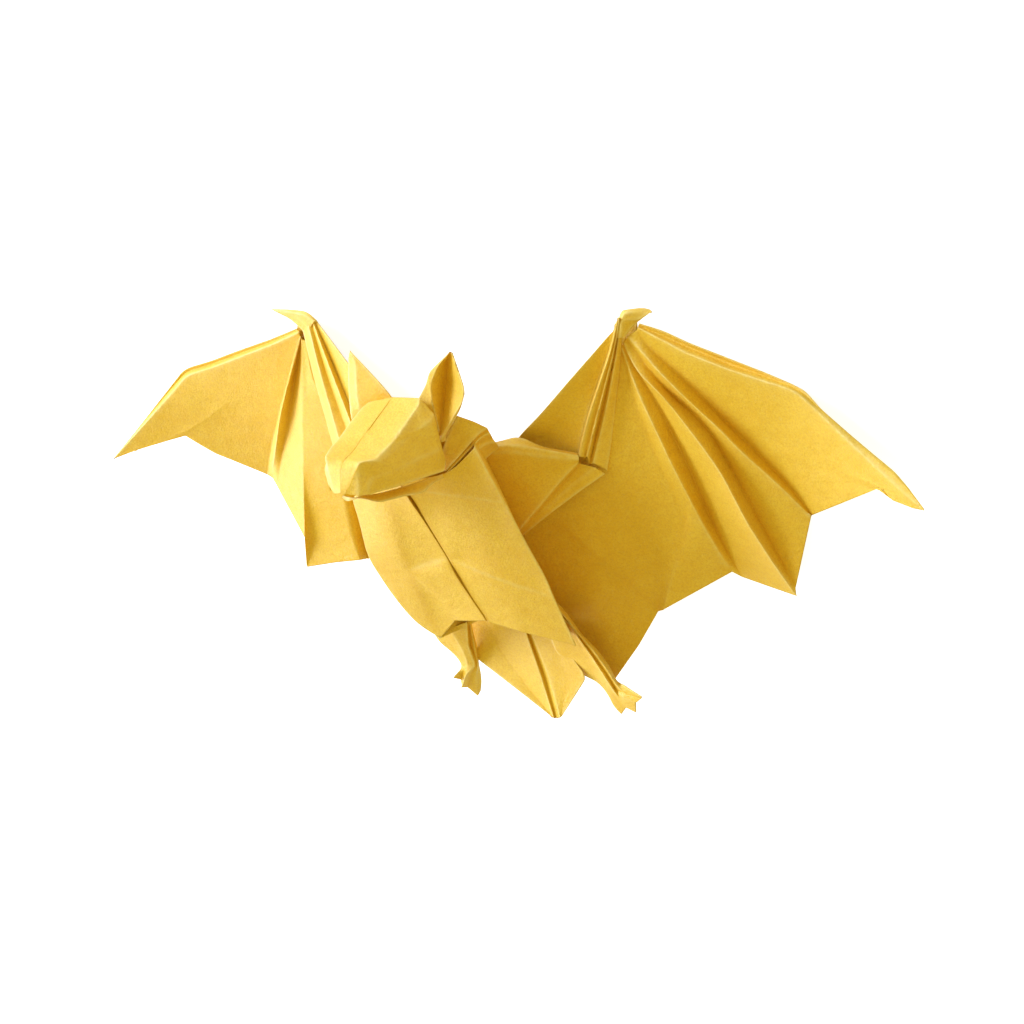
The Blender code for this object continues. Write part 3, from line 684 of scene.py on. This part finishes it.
# %% Arms
# each arm from its front fold to its rear fold
LEFT_ARM = [
    traced(
        [(616, 322), (610.5, 346), (601, 374), (591.5, 400), (583.5, 428), (577.8, 454.5)],
        [2.2, 3.2, 4.6, 6, 7.1],
    ),
    traced(
        [(618, 318), (612, 347), (603, 374), (593.8, 400), (585, 428.5), (579, 456.5)],
        [3, 4.6, 6, 7.2, 8.4],
    ),
    traced(
        [(618.8, 318), (613.8, 347), (606, 374), (598.6, 402), (591, 430), (584.5, 457.5)],
        [2.6, 3.6, 4.8, 5.9, 7],
    ),
    traced(
        [(619.5, 318), (615, 347), (608, 374), (601.4, 401), (593.5, 431), (587.5, 456)],
        [3, 4.2, 5.5, 6.6, 7.8],
    ),
    traced(
        [(620, 319), (616.3, 347), (610.5, 374), (604.4, 401), (596.5, 432), (589.5, 465)],
        [2, 2.6, 3.4, 4.2, 5.2],
    ),
    traced(
        [(620.5, 320), (617.8, 347), (613, 374), (607.8, 400), (600.6, 432), (592.8, 463)],
        [2.8, 4, 5, 6, 7.2],
    ),
    traced(
        [(622, 330), (621.3, 348), (619, 374), (616, 400), (612.7, 435), (607, 470)],
        [2.2, 2.9, 3.6, 4.5, 5.8],
    ),
    traced(
        [(622.3, 332), (622, 350), (619.8, 376), (616.8, 402), (613.5, 437), (608, 472)],
        [1.9, 2.2, 2.6, 3.3, 4.6],
    ),
]
LEFT_ARM = eased(LEFT_ARM, share=0.5)
paper_piece("arm_left", pleats(LEFT_ARM, soft=3.0, fold=0.15), seed=5)
RIGHT_ARM = [
    traced(
        [(314, 319.5), (321, 336), (330, 356), (340, 381), (351, 408), (362, 436)],
        [2.4, 3.4, 4.8, 6.2, 7.2],
    ),
    traced(
        [(312, 319.5), (318.5, 338), (326, 358), (336.5, 385), (347, 413), (357, 440)],
        [2.8, 4.6, 6, 7.2, 8.3],
    ),
    traced(
        [(310.5, 319.5), (316, 338.5), (322, 358), (331, 386), (341, 414), (350, 440)],
        [2.4, 2.9, 4, 5, 6.2],
    ),
    traced(
        [(307, 319.5), (311.5, 338), (316, 357), (324, 386), (332, 414), (340, 442)],
        [2.8, 4.2, 5.4, 6.4, 7.4],
    ),
    traced(
        [(304.5, 322), (308.5, 341), (312.5, 360), (320, 390), (328, 418), (336, 446)],
        [2.4, 3.6, 4.4, 5.2, 6],
    ),
    traced(
        [(302, 328), (306, 343), (310, 362), (316, 386), (325, 416), (333, 446)],
        [2.2, 3.2, 3.8, 4.4, 5.2],
    ),
]
RIGHT_ARM = eased(RIGHT_ARM, share=0.4)
paper_piece("arm_right", pleats(RIGHT_ARM, soft=3.0, fold=0.15), seed=6)

# %% Shoulder panels
LEFT_SHOULDER = [
    traced([(613, 331), (565, 386), (540, 415), (519, 436.5), (513, 446)], [2.4, 4.2, 6.2, 8, 8.6, 9, 9.4]),
    traced(
        [(613.3, 330.5), (594, 366), (573, 400), (556, 428), (545, 440), (536, 452)],
        [2.4, 3.9, 5.4, 6.7, 7.2, 7.6],
    ),
    LEFT_ARM[0],
]
paper_piece("shoulder_left", pleats(LEFT_SHOULDER, soft=2.0, fold=[FOLD, SLACK, FOLD]), seed=7)
RIGHT_SHOULDER = [
    traced([(314.6, 319), (331, 341), (348, 364), (366, 390), (392, 430)], [2.4, 4.2, 6.2, 8, 8.6, 9]),
    traced(
        [(314.3, 319.2), (326, 339), (340, 362), (354, 388), (367, 412), (378, 434)],
        [2.4, 3.8, 5.4, 6.9, 7.8, 8.2],
    ),
    RIGHT_ARM[0],
]
paper_piece("shoulder_right", pleats(RIGHT_SHOULDER, soft=2.0, fold=[FOLD, SLACK, FOLD]), seed=8)

# %% Elbow flaps
LEFT_FLAP = [
    traced(
        [(474, 444), (497, 442.2), (507, 438.6), (520, 436), (540, 446), (578, 453)],
        [14.2, 12.6, 11.6, 10.6, 9.2, 7.6],
    ),
    traced(
        [(470, 447), (495, 445.8), (509.5, 444.8), (545, 449.6), (578.5, 455.5)],
        [15.9, 14.4, 13.2, 10.8, 8.8],
    ),
    traced([(474, 454), (499, 452.5), (513, 452.5), (546, 457), (578.8, 460)], [16, 14.6, 13.5, 11.1, 9]),
    traced([(492, 490), (507, 486), (522, 481), (553, 470), (579, 461)], [14.9, 13.6, 12.4, 10.5, 8.7]),
    traced(
        [(514, 536), (521, 527.8), (541, 504.2), (561, 480.5), (578.5, 462.5)],
        [14.6, 14.2, 12.3, 10.4, 8.6],
    ),
    traced(
        [(514.6, 536.4), (521.8, 528.4), (542.4, 505), (562.8, 481.8), (580, 463.4)],
        [13.6, 13.2, 11.1, 9, 7.5],
    ),
    traced(
        [(514.2, 538), (523, 531), (546, 508.5), (570, 486.5), (594.8, 467.6)],
        [13.3, 12.9, 10.9, 8.8, 7.2],
    ),
    traced(
        [(514, 541), (524.5, 534.5), (551, 513), (579, 492), (605.2, 474)],
        [13.3, 12.8, 10.7, 8.7, 6.7],
    ),
]
LEFT_FLAP_RADII = [FOLD, FOLD, 0.4, 3.0, FOLD, FOLD, 0.4, FOLD]
paper_piece("flap_left", pleats(LEFT_FLAP, soft=1.5, fold=LEFT_FLAP_RADII), seed=9)
paper_piece("flap_right", pleats(mirrored(LEFT_FLAP), soft=1.5), seed=10)

# %% [markdown]
# ## Body
#
# Two panels meet at the slit, turn over at the outer folds and come back under the bat to the flat spine.

# %% Belly and flanks
# each half goes from the slit outwards and back to the spine
# a crease has two ends, a slope, a reach in mm and a softness in mm
SPINE_LEFT = [(5.4, 20.6, 10.4), (5.5, -20, 11.4)]
SPINE_RIGHT = mirrored([SPINE_LEFT])[0]
BODY_RADII = [0.45, 4.0, 0.45, 0.45]
LEFT_BODY = [
    near_middle(
        [(399, 482), (412, 497), (426, 521), (441, 546), (455, 569.5), (470, 594.5), (488.5, 622)],
        [0.4, 0.32, 0.2, 0.14, 0.08],
    ),
    traced([(449, 474.5), (456, 498), (475, 538), (498, 585), (522, 632)], [25.2, 25.4, 24.2, 22.2, 19.6]),
    traced(
        [(475, 447), (489, 473.5), (504, 500), (525, 540.5), (547, 581), (561, 612), (576, 645.5)],
        [22, 23.1, 22.8, 21.6, 19.8, 17.6],
    ),
    SPINE_LEFT,
]
UPPER = at_heights([(504, 502), (424, 492)], [22.8, 26.6])
LOWER = at_heights([(456, 563), (549, 592)], [23.9, 19.4])
LEFT_BODY_CREASES = [(*UPPER, 0.3, 3.0, 0.1), (*LOWER, 0.3, 3.0, 0.2)]
# cut below 0 at the slit: painted shade along the slit's edge
LEFT_BODY_FOLDED = pleats(LEFT_BODY, soft=2.5, fold=BODY_RADII, cut=(-0.8, 1))
LEFT_BODY_CREASED = crossed(LEFT_BODY_FOLDED, LEFT_BODY_CREASES, (0.3, 0, 1))
paper_piece("body_left", LEFT_BODY_CREASED, outward=(0.5, 0, 1), seed=11)
RIGHT_BODY = [
    near_middle(
        [(399, 482), (407, 497), (422, 520.5), (438, 545), (453, 569), (468.5, 594), (486.5, 621)],
        [-0.2, -0.15, -0.08, -0.06, -0.05],
    ),
    [
        (-6.4, 21, 27), (-8, 14.4, 26.6), (-9.6, 8.4, 26), (-10.6, 2.4, 25), (-10.6, -5.4, 23),
        (-9.8, -11.4, 21.2), (-9, -16.8, 19.8),
    ],
    traced(
        [(352, 500), (358, 520), (367, 557), (380, 578), (388, 590), (405, 612), (421, 628), (441, 638)],
        [24.6, 24.4, 23.6, 22, 20.6, 19.2, 18.2],
    ),
    SPINE_RIGHT,
]
LONG = at_heights([(390, 501), (430, 630)], [26.5, 19.8])
SHORT = at_heights([(443, 559), (404, 573)], [24.0, 24.6])
RIGHT_BODY_CREASES = [(*LONG, 0.35, 3.0, 0.5), (*SHORT, -0.35, 3.0, 0.3)]
# cut below 0 at the slit: painted shade along the slit's edge
RIGHT_BODY_FOLDED = pleats(RIGHT_BODY, soft=2.5, fold=BODY_RADII, cut=(-0.8, 1))
RIGHT_BODY_CREASED = crossed(RIGHT_BODY_FOLDED, RIGHT_BODY_CREASES, (-0.3, 0, 1))
paper_piece("body_right", RIGHT_BODY_CREASED, outward=(-0.5, 0, 1), seed=12)

# %% Spine and nape
paper_piece("spine", pleats([SPINE_LEFT, SPINE_RIGHT], soft=2.0), outward=(0, 0, -1), wave=0, seed=13)
NAPE = [
    [(0, 33.6, 21.6), (0, 31.6, 18.4), (0, 28.6, 15.5), (0, 25, 12.6), (0, 21, 10.4)],
    [(4.8, 33.2, 22), (5.4, 30.4, 19), (5.8, 27.4, 15.8), (5.6, 24, 12.8), (5.2, 20.6, 10.4)],
    [(8, 30, 22.8), (8.4, 27.4, 19.6), (8.4, 25, 16), (8.2, 22.4, 13.2), (7.6, 19.6, 10.6)],
    traced([(442, 442), (462, 437), (476, 437), (486, 438.5), (490, 441)], [23.2, 19.4, 16.4, 13.2, 10.6]),
]
paper_piece("nape_left", pleats(NAPE, soft=1.0), outward=(0.3, 0.6, -0.3), seed=14)
paper_piece("nape_right", pleats(mirrored(NAPE), soft=1.0), outward=(-0.3, 0.6, -0.3), seed=15)

# %% [markdown]
# ## Head
#
# The head is a box of planes folded from the neck end of the sheet: brow, nose, two cheeks and an open mouth.

# %% Head
HEAD_MIDDLE = near_middle(
    [(340.5, 494), (341, 469), (343.5, 461.5), (354, 451), (364, 436), (374, 422), (386, 406), (392, 397)],
    [0, 0],
)
LEFT_HEAD = [
    HEAD_MIDDLE,
    beside(
        [(347, 494.5), (357.5, 466.5), (360, 462), (375.6, 459.2), (390.4, 444.5), (406.4, 423),
         (419.1, 404.5), (419.5, 398)],
        [(1.4, 26.3, 41.1), (4, 30.6, 38.9), (4.3, 31.5, 38.7), (5.6, 31.6, 36), (6.6, 31.4, 32.4),
         (7.4, 32.6, 28), (7, 34, 23.8), (6.4, 34.6, 22.4)],
    ),
    beside(
        [(358, 496), (358.9, 467.2), (362.5, 463), (378, 461), (393, 451), (410, 435), (431, 421),
         (434, 414)],
        [(3, 26.4, 40.9), (4.4, 30.2, 38.7), (4.8, 30.9, 38.4), (6.3, 30.9, 35.8), (7.3, 30.4, 32.4),
         (8.4, 30.6, 28.4), (9, 30.6, 25.2), (8.8, 31, 23.6)],
    ),
    beside(
        [(367.6, 494.5), (369, 484), (373, 478), (384, 474), (401, 468), (420, 458), (439, 450),
         (440, 440)],
        [(4.4, 25.8, 39.8), (5.2, 27.2, 38.8), (5.6, 27.8, 38), (6.8, 27.8, 36), (8.2, 27.2, 32.6),
         (9.4, 26.6, 28.8), (9.9, 25.6, 25.8), (9.6, 26.6, 24.4)],
    ),
    beside(
        [(371.6, 495), (375, 493), (395.7, 487.3), (409, 482.7), (444.6, 471.2), (446, 462)],
        [(4.8, 25.4, 39.4), (5.4, 25.2, 38.6), (7, 24.4, 35.6), (7.7, 23.9, 33.4), (9.8, 21.6, 25.8),
         (9.8, 22.6, 24.6)],
    ),
]
NOSE = at_heights([(357.5, 467), (345.5, 493)], [38.9, 41.0])
CHEEK = at_heights([(392, 441), (425, 428.4)], [32.4, 26.0])
LEFT_HEAD_CREASES = [(*NOSE, 0.3, 2.0, 0.1), (*CHEEK, 0.25, 2.5, 0.1)]
# cut below 0 on the middle line: painted shade along it
LEFT_HEAD_FOLDED = pleats(LEFT_HEAD, soft=0.35, fold=0.35, cut=(-0.8, 1))
paper_piece("head_left", crossed(LEFT_HEAD_FOLDED, LEFT_HEAD_CREASES, BACK), outward=(0.5, 1, 0.6), seed=16)
RIGHT_HEAD = [
    HEAD_MIDDLE,
    beside(
        [(334, 493.5), (326, 463.5), (324.5, 456.5), (331, 446.5), (340, 436.5), (351, 421), (362, 407.5),
         (369, 402)],
        [(-2.4, 26.4, 41.1), (-4, 30.6, 38.9), (-4.2, 31.6, 38.8), (-5.4, 31.8, 36), (-6.4, 31.8, 32.8),
         (-6.8, 32.8, 28.6), (-7, 33.6, 24.6), (-6.4, 34.4, 22.4)],
    ),
    [
        (-4, 27.4, 39.8), (-4.9, 29.4, 38.5), (-5.3, 29.8, 37.8), (-6.4, 29.4, 35.6), (-7.4, 29.2, 33),
        (-8.4, 29, 29), (-9.4, 28.2, 25.6), (-8.8, 30, 24),
    ],
    [
        (-4.6, 25.6, 39.4), (-5.6, 27, 38.2), (-6, 27.6, 37.4), (-6.8, 26.2, 35.4), (-7.4, 24.6, 33.6),
        (-8.6, 23.6, 30), (-9.8, 21.6, 25.8), (-9.6, 23, 24.4),
    ],
]
# cut below 0 on the middle line: painted shade along it
RIGHT_HEAD_FOLDED = pleats(RIGHT_HEAD, soft=0.35, fold=0.35, cut=(-0.8, 1))
paper_piece("head_right", RIGHT_HEAD_FOLDED, outward=(-0.5, 1, 0.6), seed=17)

# %% Jaw
JAW = [
    sunk(
        beside(
            [(344, 496), (353, 497.5), (367, 495.5), (378, 494), (402, 488), (421.2, 481), (430, 478.5),
             (446, 472.5)],
            [(-3.4, 24.6, 38.6), (0, 25.2, 39.2), (2.4, 24.9, 38.8), (4.2, 24.4, 37.8), (6.6, 23.6, 33.6),
             (8, 22.6, 30.4), (8.2, 22.2, 28.6), (8.4, 20.9, 24.8)],
        ),
        [0.2, 0.3, 0.8, 1.6, 1.79, 1.4, 0.8, 0.2],
    ),
    traced(
        [(342, 497), (347, 501.5), (357, 498.2), (367, 499.8), (378.5, 503), (406, 496), (424, 493),
         (432, 484), (448, 476)],
        [38.6, 38.9, 39.1, 38.6, 38, 33.5, 30.8, 28.3, 24.2],
    ),
]
paper_piece("jaw", pleats(JAW, soft=0.8, fold=0.3), outward=(0.3, -1, 0.3), seed=18)

# %% Ears
LEFT_EAR = [
    beside(
        [(450, 352), (438.5, 362.5), (427.9, 373), (427.2, 382), (419, 397.6)],
        [(11.3, 39.6, 15.7), (9, 38.2, 16.8), (6.9, 36.7, 18.3), (6.4, 35.6, 19.4), (5.6, 33.9, 20.9)],
    ),
    beside(
        [(450.2, 352.2), (437.5, 366), (430, 385), (432.5, 405), (439.2, 430)],
        [(11.3, 39.6, 15.7), (9, 37.8, 17), (7.4, 35.2, 19.2), (8, 32.6, 21.4), (9, 28.2, 23.6)],
    ),
    sunk(
        beside(
            [(450.4, 352.4), (445.9, 362), (445, 382), (442.5, 407), (439.6, 435)],
            [(11.3, 39.6, 15.7), (10.6, 38.2, 15.4), (10.4, 35.2, 16.8), (10.2, 31.6, 19.4),
             (9.6, 27.4, 23)],
        ),
        [0.5, 2.39, 3.99, 3.4, 0.6],
    ),
    beside(
        [(452, 352.7), (458.5, 371), (464.7, 391), (463.5, 400), (440.5, 439)],
        [(11.5, 39.6, 15.8), (12.9, 37, 17), (14, 33.9, 18.5), (13.8, 32.4, 19.2), (9.6, 27, 23.6)],
    ),
    beside(
        [(452.2, 353), (459.5, 372), (464.9, 393), (460.8, 409), (441.5, 441)],
        [(11.5, 39.4, 15.4), (13, 36.8, 16.4), (13.9, 33.4, 17.8), (12.8, 30.6, 19.2), (9.8, 26.6, 22.8)],
    ),
]
paper_piece("ear_left", pleats(LEFT_EAR, soft=1.0, fold=0.25, rows=60), seed=19)
RIGHT_EAR = [
    beside(
        [(350.2, 350.7), (348.2, 355), (348.2, 371), (348.2, 387), (350.2, 412), (353, 426)],
        [(-11.3, 39.6, 15.7), (-12, 38.8, 16.4), (-13, 36.6, 17.5), (-13.4, 34.6, 18.3),
         (-12.4, 30.4, 20.2), (-12, 28, 20.6)],
    ),
    sunk(
        beside(
            [(350.4, 350.9), (354.9, 360), (355.6, 376), (356.2, 393.6), (359, 408), (366, 420)],
            [(-11.3, 39.6, 15.7), (-10.8, 38.6, 17.2), (-10.9, 36.8, 19.4), (-11.2, 34.2, 21),
             (-10.8, 30.8, 21.4), (-9.6, 28, 20)],
        ),
        [0, -0.02, 0.06, -0.04, -0.42, -0.4],
    ),
    beside(
        [(350.6, 351), (380, 383), (389, 393.6), (396, 404)],
        [(-11.3, 39.6, 15.7), (-6.4, 35.6, 19.6), (-4.6, 33.6, 19.9), (-3.4, 31, 19)],
    ),
]
paper_piece("ear_right", pleats(RIGHT_EAR, soft=1.0, fold=0.25, rows=60), seed=20)

# %% Collar
COLLAR = [
    traced([(457, 416), (449, 431), (443, 448), (441, 462), (443, 470.5)], [19.6, 20.6, 22, 23.4, 24.2]),
    traced([(474, 421.8), (465, 437), (448, 463), (444.6, 470.8)], [18.2, 19.6, 21.4, 23, 24.7]),
    traced(
        [(487.4, 428.2), (480.8, 431.9), (461.3, 453.8), (452, 464), (445.3, 471)],
        [17.2, 19, 21.6, 23.4, 24.9],
    ),
    traced(
        [(488.5, 430.5), (480.6, 433.6), (462, 454.6), (452.8, 464.7), (446.2, 471.4)],
        [16.6, 18.5, 21.3, 23.1, 24.6],
    ),
    traced(
        [(490, 433), (481.6, 436.6), (463.4, 456.2), (454, 466.2), (447.6, 472.2)],
        [16.8, 18.8, 21.6, 23.4, 24.8],
    ),
    traced(
        [(492.5, 438), (483, 438.6), (464.6, 457.4), (455, 467.2), (448.6, 472.8)],
        [15.9, 18.2, 21, 22.8, 24.3],
    ),
    traced(
        [(496.2, 443), (486, 443), (466.8, 460), (457, 469.4), (451, 474.4)],
        [15.8, 17.6, 20.8, 22.6, 24],
    ),
    traced([(499, 448), (490, 455), (475, 469), (463, 478), (456, 481)], [14.4, 15.6, 19.4, 21.4, 22.4]),
]
paper_piece("collar_left", pleats(COLLAR, soft=1.0, fold=0.2, rows=60), seed=21)
paper_piece("collar_right", pleats(mirrored(COLLAR), soft=1.0, fold=0.2, rows=60), seed=29)

# %% [markdown]
# ## Tail, legs and claws

# %% Tail
TAIL = [
    traced([(447, 622), (455, 640), (477, 658.5), (515, 688), (552, 717)], [11.8, 12.6, 13, 13.2, 13.2]),
    traced([(478, 598), (488, 622), (500, 650), (525, 684), (553, 717.6)], [11.4, 11.6, 12.2, 12.8, 13.1]),
    traced([(509, 586), (519, 612), (541, 675.5), (554, 718)], [11.6, 12.2, 12.8, 13.4, 13.5]),
    traced(
        [(511, 586), (521, 612), (529.3, 637), (544, 677), (555.5, 718.6)],
        [10.9, 11.3, 11.9, 12.6, 13.1],
    ),
    traced(
        [(515, 590), (526, 616), (533, 638), (549, 676), (560.5, 717.6)],
        [11.4, 11.8, 12.5, 13.2, 13.4],
    ),
    traced([(535, 600), (558, 655), (567, 683), (561, 716.8)], [11.6, 12, 12.6, 13, 13.2]),
    traced([(556, 622), (570, 655), (586.5, 677.5), (561.7, 716.5)], [11.8, 12.8, 13.3, 13.3, 13.2]),
]
paper_piece("tail", pleats(TAIL, soft=1.5, fold=0.3), seed=22)

# %% Legs
LEFT_LEG = [
    joined(
        traced(
            [(549, 634), (556, 652), (570, 665), (585, 676.3), (596, 681.5), (603, 688), (609, 697)],
            [13.4, 12.4, 12.2, 12],
        ),
        traced([(609, 697), (612, 704), (616, 709.5), (621.3, 714.5)], [12, 11.4, 10.9]),
    ),
    joined(
        at_heights([(557, 616), (570, 628)], [16.1, 15.2]),
        traced([(570, 628), (602, 679), (613.4, 694.3)], [15.2, 14.6, 13.8, 13]),
        traced([(613.4, 694.3), (617, 699.5), (621, 703.5), (626.1, 707.9)], [13, 12.4, 12]),
    ),
    joined(
        at_heights([(559, 615), (572, 627)], [17.1, 16.2]),
        traced([(572, 627), (580, 640.5), (591, 655.5), (615, 692.5)], [16.2, 15.6, 14.8, 13.9]),
        traced([(614.5, 693.5), (621, 700), (628, 706.5), (635.9, 712.6)], [13.6, 13, 12.6]),
    ),
    joined(
        at_heights([(560, 613), (574, 626.5)], [16.4, 15.4]),
        traced([(574, 626.5), (583, 641.5), (606.5, 673.5), (616, 689.4)], [15.4, 14.8, 14, 13.1]),
        traced([(615, 692.5), (621, 696), (628, 699.2), (635.7, 703)], [13.9, 14.2, 14.2]),
    ),
    joined(
        at_heights([(557, 608), (567.7, 620)], [17.1, 16.5]),
        traced(
            [(567.7, 620), (577.8, 633.5), (592.5, 649), (607, 669.5), (618.3, 687.5)],
            [16.5, 15.8, 14.9, 14.1],
        ),
        traced([(617, 690), (624, 692.5), (632, 695.5), (641.5, 698.6)], [13.6, 14, 14.6]),
    ),
    joined(
        at_heights([(558, 603), (569.7, 617)], [14.5, 13.9]),
        traced(
            [(569.7, 617), (580.8, 633), (596, 648), (609, 665.5), (616.5, 680.5)],
            [13.9, 13.4, 12.8, 12.6],
        ),
        traced([(616.5, 680.5), (624, 685.5), (632, 690.8), (641.6, 697)], [13.4, 14.6, 15.4]),
    ),
]
paper_piece("leg_left", pleats(LEFT_LEG, soft=0.8, fold=0.2), seed=23)
RIGHT_LEG = [
    joined(
        traced(
            [(433, 632), (439.5, 642), (454, 654.2), (459.6, 661), (461.8, 667)],
            [15.6, 14.8, 14, 13.6],
        ),
        traced([(461.8, 667), (459.5, 671), (456, 674.5), (453.6, 678)], [13.6, 14.4, 15.4]),
    ),
    joined(
        traced([(450, 628), (460, 646), (465, 656), (468, 667)], [16.4, 15.8, 15, 14.2]),
        traced([(465, 667.5), (463.5, 671.5), (462, 675.5), (460.8, 679.6)], [14, 13.8, 13.9]),
    ),
    joined(
        traced([(467, 622), (468.3, 645), (475.5, 666)], [16, 15.4, 14.8, 13.8]),
        traced([(468, 668), (466.5, 674), (464, 681), (461.8, 687.6)], [14.2, 14.2, 14]),
    ),
    joined(
        traced([(468, 622), (470.5, 646), (475, 656), (477, 666)], [14.4, 14, 13.6, 13.2]),
        traced([(471, 668), (470.5, 674), (469, 681), (467.6, 687.4)], [14, 13.2, 12.6]),
    ),
    joined(
        traced([(469.5, 621), (475, 647.5), (478.5, 666)], [14.6, 14.4, 14, 13.4]),
        traced([(475.5, 667), (476, 676), (477, 686), (477.8, 696)], [13.8, 12.6, 11.2]),
    ),
    joined(
        traced([(471, 621), (477, 648), (479.5, 666)], [12.6, 12.4, 12.4, 12.6]),
        traced([(479.5, 666), (481, 673), (481.8, 682), (480.8, 691)], [12.8, 12, 11.2]),
    ),
]
paper_piece("leg_right", pleats(RIGHT_LEG, soft=0.8, fold=0.2), seed=25)

# %% Thumb claws
LEFT_CLAW = [
    traced(
        [(614, 338), (617.5, 322), (621.5, 309.8), (629, 307.6), (648, 308.2), (651.9, 311)],
        [3, 2.9, 2.4, 1.8, 1.2, 0.8, 0.6],
    ),
    traced(
        [(617, 338), (620.5, 322), (624.6, 312.6), (640, 312.2), (651.9, 311.4)],
        [3.3, 3.2, 3, 2.4, 1.7, 1.1, 0.7],
    ),
    traced(
        [(620, 338), (623.4, 319.8), (638.6, 320.6), (651.6, 311.8)],
        [3.3, 3.1, 2.9, 2.3, 1.7, 1.2, 0.8],
    ),
    traced(
        [(623.6, 338), (628, 332), (632, 327), (638.4, 321.6), (645.2, 316.4), (651.2, 312.2)],
        [2.8, 2.5, 2, 1.5, 1.3, 1, 0.6],
    ),
]
paper_piece("claw_left", pleats(LEFT_CLAW, soft=0.8, fold=0.2, rows=60), seed=27)
RIGHT_CLAW = [
    traced([(318, 322), (311, 314.5), (305, 311), (290, 309.5), (271.5, 308.8)], [2.6, 2.4, 1.9, 1.3, 0.5]),
    traced(
        [(314.6, 321), (308.5, 316.5), (303, 314.5), (289, 311.5), (271.6, 309.4)],
        [3.2, 3, 2.6, 1.8, 0.7],
    ),
    traced([(309, 330), (305, 322.5), (299, 319), (288, 315), (274, 311)], [3, 2.8, 2.4, 1.6, 0.6]),
    traced([(303, 331), (296.5, 324.5), (289, 318.5), (277, 312.5)], [2.2, 2, 1.6, 1.2, 0.5]),
]
paper_piece("claw_right", pleats(RIGHT_CLAW, soft=0.8, fold=0.2, rows=60), seed=28)
LEFT_WRIST = [
    traced([(620, 323), (615.5, 336), (613, 350)], [0.8, 0.9, 1.2]),
    traced([(628, 323), (624, 338), (622, 352)], [0.6, 0.7, 0.9]),
    traced([(637, 323), (637, 333), (635, 345)], [0.5, 0.5, 0.6]),
]
paper_piece("wrist_left", pleats(LEFT_WRIST, rows=30), seed=30)
RIGHT_WRIST = [
    traced([(297, 326), (297, 334), (299, 346)], [0.9, 0.9, 1]),
    traced([(306, 316), (308, 330), (310, 350)], [0.9, 0.9, 1.2]),
    traced([(316, 320), (322, 333), (329, 350)], [1, 1.2, 1.8]),
]
paper_piece("wrist_right", pleats(RIGHT_WRIST, rows=30), seed=31)

# %% [markdown]
# ## Table, light and camera
#
# A white table that shows only a soft shadow, a cool lamp behind the head to the left, a low one from the
# left, and a warm even sky for the rest, which the camera itself sees as white.

# %% Table
TABLE_SIZE = 6.0
floor_mesh = bpy.data.meshes.new("floor")
half = TABLE_SIZE / 2
corners = [(-half, -half, 0), (half, -half, 0), (half, half, 0), (-half, half, 0)]
floor_mesh.from_pydata(corners, [], [(0, 1, 2, 3)])
floor = bpy.data.objects.new("floor", floor_mesh)
bpy.context.collection.objects.link(floor)
white = bpy.data.materials.new("table_white")
white.use_nodes = True
floor_tree = white.node_tree
floor_shader = floor_tree.nodes["Principled BSDF"]
floor_shader.inputs["Base Color"].default_value = (0.8, 0.8, 0.8, 1)
floor_shader.inputs["Roughness"].default_value = 0.9
glow = add(floor_tree, "ShaderNodeEmission", [("Color", (1, 1, 1, 1)), ("Strength", 0.85)])
both = add(floor_tree, "ShaderNodeAddShader", [], [(0, floor_shader.outputs[0]), (1, glow.outputs[0])])
seen = add(floor_tree, "ShaderNodeLightPath")
shares = [(0, seen.outputs["Is Camera Ray"]), (1, floor_shader.outputs[0]), (2, both.outputs[0])]
pick = add(floor_tree, "ShaderNodeMixShader", [], shares)
floor_tree.links.new(pick.outputs[0], floor_tree.nodes["Material Output"].inputs["Surface"])
floor_mesh.materials.append(white)

# %% Light
LAMP_DISTANCE = 0.9  # m


def lamp(name, size, power, colour, way):
    """A round lamp of a size in m and a power in W, which looks at the bat from the way given."""
    data = bpy.data.lights.new(name, "AREA")
    data.shape, data.size, data.energy = "DISK", size, power
    data.color = colour
    light = bpy.data.objects.new(name, data)
    bpy.context.collection.objects.link(light)
    light.location = Vector(way).normalized() * LAMP_DISTANCE
    light.rotation_euler = light.location.to_track_quat("Z", "Y").to_euler()


lamp("key", 0.45, 6.9, (0.92, 1.06, 1.9), (-0.6, 0.66, 0.43))
lamp("top", 0.6, 5.6, (1.0, 1.04, 1.6), (-0.88, -0.1, 0.28))
world = bpy.data.worlds.new("sky")
bpy.context.scene.world = world
world.use_nodes = True
sky = world.node_tree
warm_sky = sky.nodes["Background"]
warm_sky.inputs["Color"].default_value = (1.0, 0.885, 0.45, 1)
warm_sky.inputs["Strength"].default_value = 0.7
white_sky = add(sky, "ShaderNodeBackground", [("Color", (1, 1, 1, 1)), ("Strength", 1.0)])
ray = add(sky, "ShaderNodeLightPath")
shares = [(0, ray.outputs["Is Camera Ray"]), (1, warm_sky.outputs[0]), (2, white_sky.outputs[0])]
sky_pick = add(sky, "ShaderNodeMixShader", [], shares)
sky.links.new(sky_pick.outputs[0], sky.nodes["World Output"].inputs["Surface"])

# %% Camera
SENSOR = 36.0  # mm
camera_data = bpy.data.cameras.new("camera")
camera_data.lens, camera_data.sensor_width = SENSOR * FOCAL / PICTURE, SENSOR
camera_data.clip_start, camera_data.clip_end = 0.05, 10.0
camera = bpy.data.objects.new("camera", camera_data)
bpy.context.collection.objects.link(camera)
camera.matrix_world = Matrix([(RIGHT[k], UP[k], BACK[k], EYE[k]) for k in range(3)] + [(0, 0, 0, 1)])
bpy.context.scene.camera = camera
bpy.context.scene.view_settings.view_transform = "Standard"
